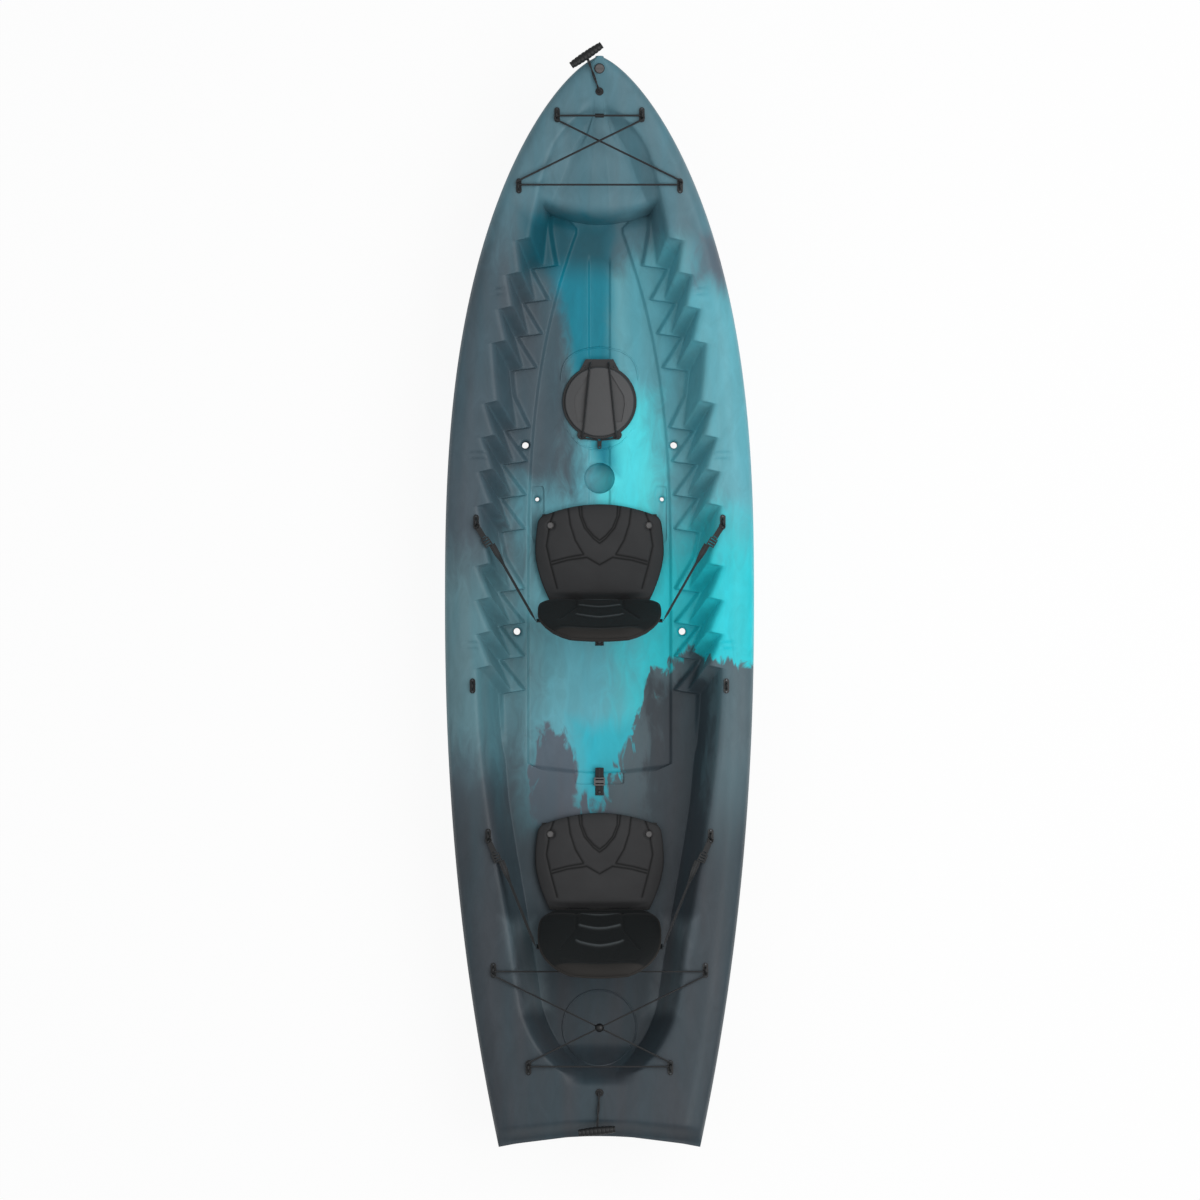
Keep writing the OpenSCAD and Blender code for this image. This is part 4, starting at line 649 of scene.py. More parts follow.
def swirl(colours):
    """The swirl's layers: colour, softness, wander, and lines a*x + b*y + d that are positive inside it."""
    # Painted light: paler slate on both walls of the stern well, lightening their shade
    walls = [(colours.wall, 0.03, 0.04, [(side, -0.17, -0.355), (-side, 0.17, 0.43), (0.0, -1.0, -0.94),
                                         (0.0, 1.0, 1.2)]) for side in (1.0, -1.0)]
    return [
        (colours.slate_deep, 0.20, 0.30, [(0.0, -1.0, -0.58)]),
        (colours.bow, 0.20, 0.25, [(0.45, 0.89, -0.84)]),
        (colours.haze, 0.12, 0.25, [(0.0, -1.0, 0.12), (0.0, 1.0, 0.46), (-1.0, 0.0, 0.06)]),
        (colours.mist, 0.11, 0.20, [(1.0, 0.0, 0.19), (-1.0, 0.0, 0.22), (0.0, -1.0, 0.30),
                                    (0.0, 1.0, 0.64)]),
        (colours.teal, 0.06, 0.18, [(1.0, 0.0, 0.07), (0.0, 1.0, 0.30), (0.3, -1.0, 1.0)]),
        (colours.cyan, 0.06, 0.14, [(0.99, 0.1, -0.05), (-1.0, 0.0, 0.17), (0.0, -1.0, 0.62),
                                    (0.0, 1.0, 0.0)]),
        (colours.cyan_deep, 0.14, 0.25, [(1.0, 0.0, -0.08), (0.0, -1.0, 0.2), (0.0, 1.0, 0.5)]),
        (colours.teal_deep, 0.03, 0.08, [(1.0, 0.25, -0.1), (-1.0, 0.0, 0.035), (0.0, 1.0, -0.4),
                                         (0.0, -1.0, 1.12)]),
        # Painted shade: dark teal below the bow step, where the step's shadow falls
        (colours.bow_step_shade, 0.05, 0.10, [(0.0, 1.0, -0.98), (0.0, -1.0, 1.13), (1.0, 0.0, 0.22),
                                        (-1.0, 0.0, 0.05)]),
        (colours.mauve, 0.05, 0.16, [(1.0, 0.0, -0.27), (0.0, -1.0, 1.1), (0.0, 1.0, -0.93)]),
        (colours.wedge, 0.05, 0.10, [(1.0, 0.0, 0.07), (-1.0, 0.0, 0.15), (0.0, -1.0, -0.36),
                                     (0.0, 1.0, 0.66)]),
        (colours.aft, 0.012, 0.34, [(0.94, -0.34, -0.245), (0.25, -1.0, -0.27)]),
        (colours.slate_deep, 0.03, 0.30, [(1.0, 0.0, -0.17), (0.0, -1.0, -0.26), (-1.0, 0.0, 0.3)]),
        (colours.mauve, 0.014, 0.30, [(-0.85, -0.52, -0.316), (0.0, -1.0, -0.36), (1.0, 0.0, 0.2)]),
        (colours.slate_deep, 0.20, 0.30, [(0.0, -1.0, -0.62)]),
    ] + walls


def polyethylene(colours):
    """Rotomoulded polyethylene: powders of several colours melt into a swirl, with painted shade and painted
    light laid in among its layers.

    To the eye it is a satin skin with a faint orange peel, and ragged or clouded edges between colours.
    A layer's factor is the least distance inside its lines, moved by noise and eased over its softness.
    """
    mat, tree = blank("rotomoulded_polyethylene")
    place = node(tree, "ShaderNodeTexCoord", "Object")
    # Clouds and flow streaks, both drawn out along the hull
    flow = node(tree, "ShaderNodeVectorMath", 0, {0: place, 1: (1.0, 0.4, 0.6)}, operation="MULTIPLY")
    cloud = node(tree, "ShaderNodeTexNoise", "Fac", {
        "Vector": flow, "Scale": per_metre(181.8), "Detail": 3.0, "Roughness": 0.55, "Distortion": 0.6})
    streak = node(tree, "ShaderNodeTexNoise", "Fac", {
        "Vector": flow, "Scale": per_metre(41.67), "Detail": 4.0, "Roughness": 0.6, "Distortion": 1.0})
    wander = node(tree, "ShaderNodeMath", 0, {0: streak, 1: 0.5, 2: cloud}, operation="MULTIPLY_ADD")
    wander_mean = 0.75
    mixed = linear(colours.slate)
    for hex_code, soft, wide, lines in swirl(colours):
        inside = None
        for a, b, d in lines:
            reach = node(tree, "ShaderNodeVectorMath", "Value", {0: place, 1: (a, b, 0.0)},
                         operation="DOT_PRODUCT")
            reach = node(tree, "ShaderNodeMath", 0, {0: reach, 1: d})
            if inside is None:
                inside = reach
            else:
                inside = node(tree, "ShaderNodeMath", 0, {0: inside, 1: reach}, operation="MINIMUM")
        drift = node(tree, "ShaderNodeMath", 0, {0: wander, 1: wide, 2: inside}, operation="MULTIPLY_ADD")
        edge = wander_mean * wide
        fac = node(tree, "ShaderNodeMapRange", 0, {"Value": drift, "From Min": edge - soft,
                                                   "From Max": edge + soft}, interpolation_type="SMOOTHSTEP")
        mixed = node(tree, "ShaderNodeMix", 2, {0: fac, 6: mixed, 7: linear(hex_code)}, data_type="RGBA")
    tone = node(tree, "ShaderNodeMapRange", 0, {"Value": streak, "From Min": 0.25, "From Max": 0.75,
                                                "To Min": 0.88, "To Max": 1.1})
    mixed = node(tree, "ShaderNodeHueSaturation", 0, {"Value": tone, "Color": mixed})
    # Warm and cool bands, drawn out further along the hull
    bands = node(tree, "ShaderNodeVectorMath", 0, {0: place, 1: (1.0, 0.12, 0.5)}, operation="MULTIPLY")
    band = node(tree, "ShaderNodeTexNoise", "Fac", {"Vector": bands, "Scale": per_metre(71.4), "Detail": 2.0})
    warm = node(tree, "ShaderNodeMapRange", 0, {"Value": band, "From Min": 0.35, "From Max": 0.65})
    tint = node(tree, "ShaderNodeMix", 2, {0: warm, 6: (0.9, 1.03, 1.03, 1), 7: (1.08, 0.98, 0.95, 1)},
                data_type="RGBA")
    mixed = node(tree, "ShaderNodeMix", 2, {0: 1.0, 6: mixed, 7: tint}, data_type="RGBA",
                 blend_type="MULTIPLY")
    # Orange peel
    peel = node(tree, "ShaderNodeTexNoise", "Fac", {"Vector": place, "Scale": per_metre(3.03), "Detail": 2.0})
    bump = node(tree, "ShaderNodeBump", 0, {"Strength": 0.12, "Distance": 0.0006, "Height": peel})
    rough = node(tree, "ShaderNodeMapRange", 0, {"Value": cloud, "To Min": 0.4, "To Max": 0.52})
    surface(tree, {"Base Color": mixed, "Roughness": rough, "IOR": 1.51, "Specular IOR Level": 0.3,
                   "Normal": bump})
    return mat


def moulded(name, base, rough, grain_mm, wear):
    """Injection-moulded plastic or rubber: a fine grain breaks up its highlights, and its tone drifts."""
    mat, tree = blank(name)
    place = node(tree, "ShaderNodeTexCoord", "Object")
    tone = node(tree, "ShaderNodeTexNoise", "Fac", {"Vector": place, "Scale": per_metre(35.71),
                                                    "Detail": 3.0})
    rgb = np.array(linear(base))[:3]
    deep, pale = (*(rgb * (1 - wear)), 1), (*(rgb * (1 + wear)), 1)
    mixed = node(tree, "ShaderNodeMix", 2, {0: tone, 6: deep, 7: pale}, data_type="RGBA")
    grain = node(tree, "ShaderNodeTexNoise", "Fac", {"Vector": place, "Scale": per_metre(grain_mm)})
    bump = node(tree, "ShaderNodeBump", 0, {"Strength": 0.18, "Distance": 0.0003, "Height": grain})
    surface(tree, {"Base Color": mixed, "Roughness": rough, "IOR": 1.5, "Normal": bump})
    return mat


def steel(colours):
    """Passivated stainless steel: a dull metal shine, broken by fine turning marks."""
    mat, tree = blank("passivated_stainless_steel")
    place = node(tree, "ShaderNodeTexCoord", "Object")
    # Turning marks are about 0.1 mm; drawn at 1.4 mm so that they show
    marks = node(tree, "ShaderNodeTexNoise", "Fac", {"Vector": place, "Scale": per_metre(1.429),
                                                     "Detail": 3.0})
    rough = node(tree, "ShaderNodeMapRange", 0, {"Value": marks, "To Min": 0.22, "To Max": 0.4})
    surface(tree, {"Base Color": linear(colours.steel), "Metallic": 1.0, "Roughness": rough})
    return mat


def fabric(name, base, seam, edge, weave_mm, way):
    """Coated woven cloth: crossed threads under a matt coat, faded in patches, toned at seam and edge."""
    mat, tree = blank(name)
    place = node(tree, "ShaderNodeTexCoord", "Object")
    # A wave of scale 1 repeats every pi / 10 m
    thread = {"Vector": place, "Scale": math.pi / 10 * per_metre(weave_mm)}
    warp = node(tree, "ShaderNodeTexWave", "Fac", thread, bands_direction="X")
    weft = node(tree, "ShaderNodeTexWave", "Fac", thread, bands_direction=way)
    weave = node(tree, "ShaderNodeMath", 0, {0: warp, 1: weft}, operation="MULTIPLY")
    fade = node(tree, "ShaderNodeTexNoise", "Fac", {"Vector": place, "Scale": per_metre(71.4), "Detail": 4.0})
    rgb = np.array(linear(base))[:3]
    deep, faded = (*(rgb * 0.82), 1), (*(rgb * 1.2), 1)
    tone = node(tree, "ShaderNodeMix", 2, {0: fade, 6: deep, 7: faded}, data_type="RGBA")
    for mark, hex_code in (("edge", edge), ("seam", seam)):
        fac = node(tree, "ShaderNodeAttribute", "Fac", attribute_name=mark)
        tone = node(tree, "ShaderNodeMix", 2, {0: fac, 6: tone, 7: linear(hex_code)}, data_type="RGBA")
    bump = node(tree, "ShaderNodeBump", 0, {"Strength": 0.3, "Distance": 0.0004, "Height": weave})
    surface(tree, {"Base Color": tone, "Roughness": 0.75, "Specular IOR Level": 0.3, "Sheen Weight": 0.03,
                   "Normal": bump})
    return mat


def braid(name, base, light, turn_mm, width):
    """Braided cord or woven webbing: crossed bands of thread in its own UV, flecked where they cross."""
    mat, tree = blank(name)
    uv = node(tree, "ShaderNodeTexCoord", "UV")
    around = node(tree, "ShaderNodeSeparateXYZ", "X", {0: uv})
    turns = 2 * math.pi * per_metre(turn_mm)
    along = node(tree, "ShaderNodeMath", 0, {0: around.node.outputs["Y"], 1: turns}, operation="MULTIPLY")
    waves = []
    for way in (1, -1):
        turn = node(tree, "ShaderNodeMath", 0, {0: around, 1: way * 2 * math.pi * width, 2: along},
                    operation="MULTIPLY_ADD")
        waves.append(node(tree, "ShaderNodeMath", 0, {0: turn}, operation="SINE"))
    cross = node(tree, "ShaderNodeMath", 0, {0: waves[0], 1: waves[1]}, operation="MULTIPLY")
    fac = node(tree, "ShaderNodeMapRange", 0, {"Value": cross, "From Min": 0.2, "From Max": 0.9})
    mixed = node(tree, "ShaderNodeMix", 2, {0: fac, 6: linear(base), 7: linear(light)}, data_type="RGBA")
    bump = node(tree, "ShaderNodeBump", 0, {"Strength": 0.5, "Distance": 0.0004, "Height": cross})
    surface(tree, {"Base Color": mixed, "Roughness": 0.65, "Sheen Weight": 0.1, "Normal": bump})
    return mat


def dress(obj, mat):
    """Gives an object one material."""
    obj.data.materials.clear()
    obj.data.materials.append(mat)
    return obj


def line_gap(p, line):
    """Distance of points from a polyline in the plane."""
    line = np.asarray(line, float)
    a, d = line[:-1], np.diff(line, axis=0)
    rel = p[..., None, :] - a
    t = np.clip((rel * d).sum(-1) / (d * d).sum(-1), 0, 1)
    return np.linalg.norm(rel - t[..., None] * d, axis=-1).min(-1)


def marked(obj, name, values):
    """Stores a per-vertex mark that the cloth material reads."""
    layer = obj.data.attributes.new(name, "FLOAT", "POINT")
    layer.data.foreach_set("value", np.ascontiguousarray(values, np.float32))


def swell(obj, held, cap):
    """Cloth filled by pressure: held points stay, the rest moves by at most the cap, then one subdivision."""
    frames = 20
    scene = bpy.context.scene
    start = positions(obj)
    group = obj.vertex_groups.new(name="held")
    group.add(np.flatnonzero(held).tolist(), 1.0, "REPLACE")
    cloth = obj.modifiers.new("Filling", "CLOTH")
    cloth.settings.quality = 5
    cloth.settings.mass = 0.3
    cloth.settings.use_pressure = True
    cloth.settings.uniform_pressure_force = 4.0
    cloth.settings.vertex_group_mass = "held"
    cloth.settings.effector_weights.gravity = 0.0
    cloth.collision_settings.use_collision = False
    cloth.point_cache.frame_start, cloth.point_cache.frame_end = 1, frames
    for number in range(1, frames + 1):
        scene.frame_set(number)
    settled(obj)
    move = positions(obj) - start
    size = np.linalg.norm(move, axis=1, keepdims=True)
    moved = start + move * np.minimum(1, cap / np.maximum(size, 1e-9))
    obj.data.vertices.foreach_set("co", np.ascontiguousarray(moved, np.float32).ravel())
    obj.vertex_groups.clear()
    scene.frame_set(1)
    smoother = obj.modifiers.new("Smooth", "SUBSURF")
    smoother.levels = smoother.render_levels = 1
    settled(obj)


def pillow(name, upper, lower):
    """A closed cushion between two grids of equal size."""
    rows, cols = upper.shape[:2]
    n = rows * cols
    i = np.concatenate([np.arange(cols), np.arange(1, rows) * cols + cols - 1,
                        n - 2 - np.arange(cols - 1), (np.arange(rows - 2, 0, -1)) * cols])
    k = np.roll(i, -1)
    side = np.stack([k, i, n + i, n + k], 1)
    low = quads(rows, cols, False, n)[:, ::-1]
    return make(name, np.concatenate([upper.reshape(-1, 3), lower.reshape(-1, 3)]),
                [quads(rows, cols), low, side])


# Holes through the floor, one a side: place across and along, radius, and whether it drains a pocket
DRAINS = [(0.22, 0.466, 0.01, False), (0.245, -0.086, 0.01, False), (0.185, 0.306, 0.006, True)]
# Pockets in the floor: centre, half size and depth
SIDE_POCKET = ((0.1815, 0.262), (0.0185, 0.083), 0.0055)
ANCHOR_POCKET = ((0.0, -0.5197), (0.0734, 0.019), 0.005)
# Outline of the bead round the hatch, right half in mm from the hatch's centre
HATCH_BEAD = [(0, 164), (62, 152), (98, 128), (112, 95), (116, 40), (116, 0), (113, -52), (88, -95),
              (62, -125), (30, -138), (0, -141)]
# Centre and radius of the round bead in the stern well
STERN_BEAD = (-1.255, 0.109)


class KAYAK_OT_skin(bpy.types.Operator):
    """Moulded skin of hull and deck"""
    bl_idname = "kayak.skin"
    bl_label = "Moulded skin"

    def execute(self, context):
        hull, colours = context.scene.kayak_hull, context.scene.kayak_colour
        ring, m = self.stations(hull)
        n, size = ring.shape[:2]
        cap = self.cap(m, size)
        skin = make("kayak_skin", ring.reshape(-1, 3),
                    [quads(n, size, True)[:, ::-1], cap[:, ::-1], (n - 1) * size + cap])
        self.bore(hull, skin)
        skin.data.shade_smooth()
        skin.data.set_sharp_from_angle(angle=math.radians(52))
        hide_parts("hull_moulding", "deck_moulding", "gunwale_port", "gunwale_starboard",
                    "scupper_tubes")
        shell = polyethylene(colours)
        for piece in [skin] + self.beads(hull):
            dress(piece, shell)
            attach(piece, "hull")
        return {"FINISHED"}

    def beads(self, hull):
        """Raised beads on the floor: half-sunk tubes, one round the hatch and a circle in the stern well."""
        right = np.array(HATCH_BEAD) * 0.001
        left = right[::-1] * np.array([-1, 1])
        ring = np.concatenate([right, left[1:], right[1:2]])
        a = np.linspace(0, 2.03 * np.pi, 90)
        circle = STERN_BEAD[1] * np.stack([np.sin(a), np.cos(a)], 1)
        bead = 0.006
        made = []
        for name, flat, y0 in (("hatch_bead", ring, hull.hatch_y), ("stern_bead", circle, STERN_BEAD[0])):
            path = np.column_stack([flat[:, 0], flat[:, 1] + y0, 0 * flat[:, 0]])
            path = filleted(path[None], [0.02] * (len(path) - 2), [0] * (len(path) - 1))[0]
            path, _ = resampled(path, bead)
            in_channel = smooth((hull.channel_half + 0.006 - np.abs(path[:, 0])) / 0.012) * (y0 > 0)
            path[:, 2] = floor_z(hull, path[:, 1]) - hull.channel_depth * in_channel - 0.0005
            made.append(tube(name, path, bead, 12)[0])
        return made

    def stations(self, hull):
        """Rings round the hull: deck stations above and hull stations below, closer where the deck turns."""
        f = footrests(hull)
        near = np.array([0.013, 0.0085, 0.0055, 0.003, 0.001, -0.001, -0.003, -0.0055, -0.0085, -0.013])
        grip = np.array([-0.017, -0.0125, -0.009, -0.0055, 0.0, 0.0055, 0.009, 0.0125, 0.017])
        close = np.concatenate([(f[:, None] + near).ravel(), hull.rear_step + np.linspace(-0.012, 0.012, 9),
                                (GRIPS[:, :1] + grip).ravel()])
        plain = np.arange(-hull.half_length + 0.06, hull.half_length - 0.04, hull.row_step)
        plain = plain[np.abs(plain[:, None] - close).min(1) > 0.004]
        ends = np.concatenate([hull.half_length - 0.04 * np.linspace(1, 0, 9) ** 1.6,
                               0.06 * np.linspace(0, 1, 14)[:-1] ** 1.3 - hull.half_length])
        s = np.unique(np.round(np.concatenate([plain, ends, close]), 6))[::-1]
        s = s[np.append(True, np.diff(s) < -0.0007)]
        # Reach of the fillet at each corner of a half station; the second list has extra points on each leg
        reach = [0.003, 0.003, 0.004, 0.004, 0.007, 0.008, 0.01, 0.011, 0.011, 0.014, 0.012]
        deck = both_sides(filleted(deck_points(hull, s), reach, [1, 0, 6, 0, 2, 0, 1, 3, 0, 4, 1, 1]))
        under = [0.02, 0.02, 0.03, 0.03, 0.03, 0.03, 0.02, 0.015]
        bottom = both_sides(filleted(hull_points(hull, s), under, [2, 0, 0, 0, 0, 1, 1, 0, 0]))
        deck[..., 2] += self.relief(hull, deck[..., 0], deck[..., 1], deck[..., 2])
        return np.concatenate([deck, bottom[:, -2:0:-1]], 1), deck.shape[1]

    def cap(self, m, size):
        """Triangles that close an end ring: each of its m deck points is tied to a share of hull points."""
        top = np.arange(m)
        low = (size - np.round(top * (size - m + 1) / (m - 1)).astype(int)) % size
        down = np.stack([top[:-1], low[:-1], low[1:]], 1)
        tri = np.concatenate([down, np.stack([top[:-1], low[1:], top[1:]], 1)])
        return tri[(tri != np.roll(tri, 1, 1)).all(1)]

    def relief(self, hull, x, y, z):
        """Moulded detail: hatch pad, grip grooves and cup lip, as heights."""
        r = np.hypot(x, y - hull.hatch_y)
        pad = np.maximum(0, hull.floor + 0.003 - z) * smooth((hull.hatch_pad - r) / 0.004)
        out = np.zeros_like(z)
        for at, a, b in GRIPS:
            across = smooth((np.abs(x) - a) / 0.006) * smooth((b - np.abs(x)) / 0.006)
            two = np.exp(-((y - at - 0.009) / 0.0035) ** 2) + np.exp(-((y - at + 0.009) / 0.0035) ** 2)
            out -= 0.0035 * across * two
        lip = 0.002 * smooth((hull.cup_radius + 0.004 - np.hypot(x, y - hull.cup_y)) / 0.003)
        return pad + out + lip

    def bore(self, hull, skin):
        """Pockets, drains through the floor, hatch opening and the hollow below it, cup and fitting holes."""
        above, below = 0.13, -0.05
        centre, half, depth = SIDE_POCKET
        side_floor = hull.floor - depth
        pockets = [prism((side * centre[0], centre[1]), half, side_floor, above) for side in (-1, 1)]
        centre, half, depth = ANCHOR_POCKET
        carve(skin, pockets + [prism(centre, half, hull.floor + hull.platform - depth, above)])
        parts = []
        for side in (-1, 1):
            for px, py, r, in_pocket in DRAINS:
                top = side_floor if in_pocket else hull.floor + hull.ledge
                flare = [(r, below), (r, top - 0.012), (r + 0.0015, top - 0.007), (r + 0.004, top - 0.003),
                         (r + 0.009, top + 0.0005), (r + 0.011, top + 0.02)]
                parts.append(lathe(flare, (side * px, py, 0), 40))
        # Hatch opening over a wide hollow
        wide, low, high = 0.15, 0.024, 0.084
        inside = [(wide, low), (wide, high), (hull.hatch_radius, high), (hull.hatch_radius, above)]
        parts.append(lathe(inside, (0, hull.hatch_y, 0), 96))
        r = hull.cup_radius
        cup = [(r - 0.0095, 0.035), (r - 0.0035, 0.0365), (r - 0.0007, 0.041), (r, 0.05), (r, 0.12)]
        parts.append(lathe(cup, (0, hull.cup_y, 0), 64))
        # Bow drain, and the two grommets of the carry handles
        for py, r, low, high, sides in ((1.563, 0.0113, 0.3, 0.36, 32), (1.496, 0.0077, 0.29, 0.37, 24),
                                        (-1.437, 0.0077, 0.26, 0.34, 24)):
            parts.append(lathe([(r, low), (r, high)], (0, py, 0), sides))
        carve(skin, parts)


# Sewn lines of a seat pad in mm: distance from its centreline, and from its front edge
SEAT_LINES = [
    [(134.5, -22.3), (146.5, -55.5), (157.4, -124.2), (143.5, -184.1), (125.6, -250)],
    [(61.7, -5.6), (58.4, -34.4), (45, -71.3), (18, -103.4), (0, -117)],
    [(53.5, -5.6), (51.7, -37.6), (38.2, -71.3), (18, -94.9), (0, -108.4)],
    [(93.8, -10.6), (87, -61.2), (72, -108.4), (48.2, -148.9)],
    [(48.2, -150.5), (95.4, -158.9), (141, -170.8)],
    [(0, -180.9), (38.2, -158.9), (95, -167), (141, -180)],
]
# Stud of a seat pad: distance from its centreline, and from its front edge
STUD = (0.146, -0.064)
# Sewn lines of a back pad in mm: distance from its centreline, and up from its hinge
BACK_LINES = [[(68, 33), (70, 139), (115, 238)], [(0, 294), (110, 290)]]
# Ribs of a back pad: height as a share of the backrest, and half width
BACK_RIBS = [(0.18, 0.06), (0.41, 0.066), (0.665, 0.074)]


def line_field(flat, lines):
    """Least distance of points from several polylines given in mm."""
    return np.min([line_gap(flat, np.array(line) * 0.001) for line in lines], axis=0)


class KAYAK_OT_seat_pads(bpy.types.Operator):
    """Front and rear seat pads"""
    bl_idname = "kayak.seat_pads"
    bl_label = "Seat pads"

    def execute(self, context):
        seat, colours = context.scene.kayak_seat, context.scene.kayak_colour
        # Threads are about 1 mm; drawn at 3 mm so that they show
        cloth = fabric("woven_polyester_seat_cloth", colours.seat, colours.seat_seam, colours.seat_seam,
                       3.0, "Y")
        for name, front, base in (("front", seat.front_y, seat.front_base),
                                  ("rear", seat.rear_y, seat.rear_base)):
            pad = self.pad(seat, name + "_seat_cushion", front, base)
            dress(pad, cloth)
            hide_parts(name + "_seat_pad")
            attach(pad, "hull")
        return {"FINISHED"}

    def pad(self, seat, name, front, base):
        """Cushion: width from power curves, a crown dimpled at its studs, swelled, then lines pressed in."""
        u = np.linspace(-1, 1, 97)[None]
        v = np.linspace(0, 1, 73)[:, None]
        waist = 0.45
        aft = 0.23 * np.maximum(0, (v - waist) / (1 - waist)) ** 1.8
        fore = 0.06 * np.maximum(0, (waist - v) / waist) ** 2
        corner = 0.05 * np.maximum(0, 1 - v / 0.1) ** 2.5
        x = u * seat.half_width * (1 - aft - fore - corner)
        y = -v * (seat.length + seat.tail) - 0.036 * u ** 2 * (1 - v) ** 2 + 0 * x
        crown = (1 - np.abs(u) ** 5) * (1 - np.maximum(0, 1 - 2 * v) ** 10)
        crown = crown * smooth((seat.length + 0.004 + y) / 0.024)
        flat = np.stack([np.abs(x), y], -1)
        stud = np.hypot(flat[..., 0] - STUD[0], y - STUD[1])
        dimple = lerp(0.019, 0.06, smooth((stud - 0.0105) / 0.022))
        z = np.minimum(lerp(seat.edge, seat.thickness, crown), dimple)
        rim = np.maximum(np.abs(u), np.abs(2 * v - 1)) > 0.999
        held = rim | (line_field(flat, SEAT_LINES) < 0.0028) | (stud < 0.015) | (y < 0.014 - seat.length)
        upper = np.stack([x, y + front, z + base], -1)
        lower = np.stack([0.965 * x, lerp(-0.5 * seat.length, y, 0.965) + front, 0 * x + base], -1)
        obj = pillow(name, upper[::-1], lower[::-1])
        swell(obj, np.concatenate([held[::-1].ravel(), np.ones(held.size, bool)]), seat.swell_cap)
        p = positions(obj)
        high = p[:, 2] - base
        gap = line_field(np.stack([np.abs(p[:, 0]), p[:, 1] - front], -1), SEAT_LINES)
        top = smooth((high - 0.01) / 0.004)
        p[:, 2] -= 0.002 * np.exp(-(gap / 0.0034) ** 2) * top
        obj.data.vertices.foreach_set("co", np.ascontiguousarray(p, np.float32).ravel())
        marked(obj, "seam", np.exp(-(gap / 0.0027) ** 2) * top)
        marked(obj, "edge", 1 - smooth((high - 0.01) / 0.006))
        return obj


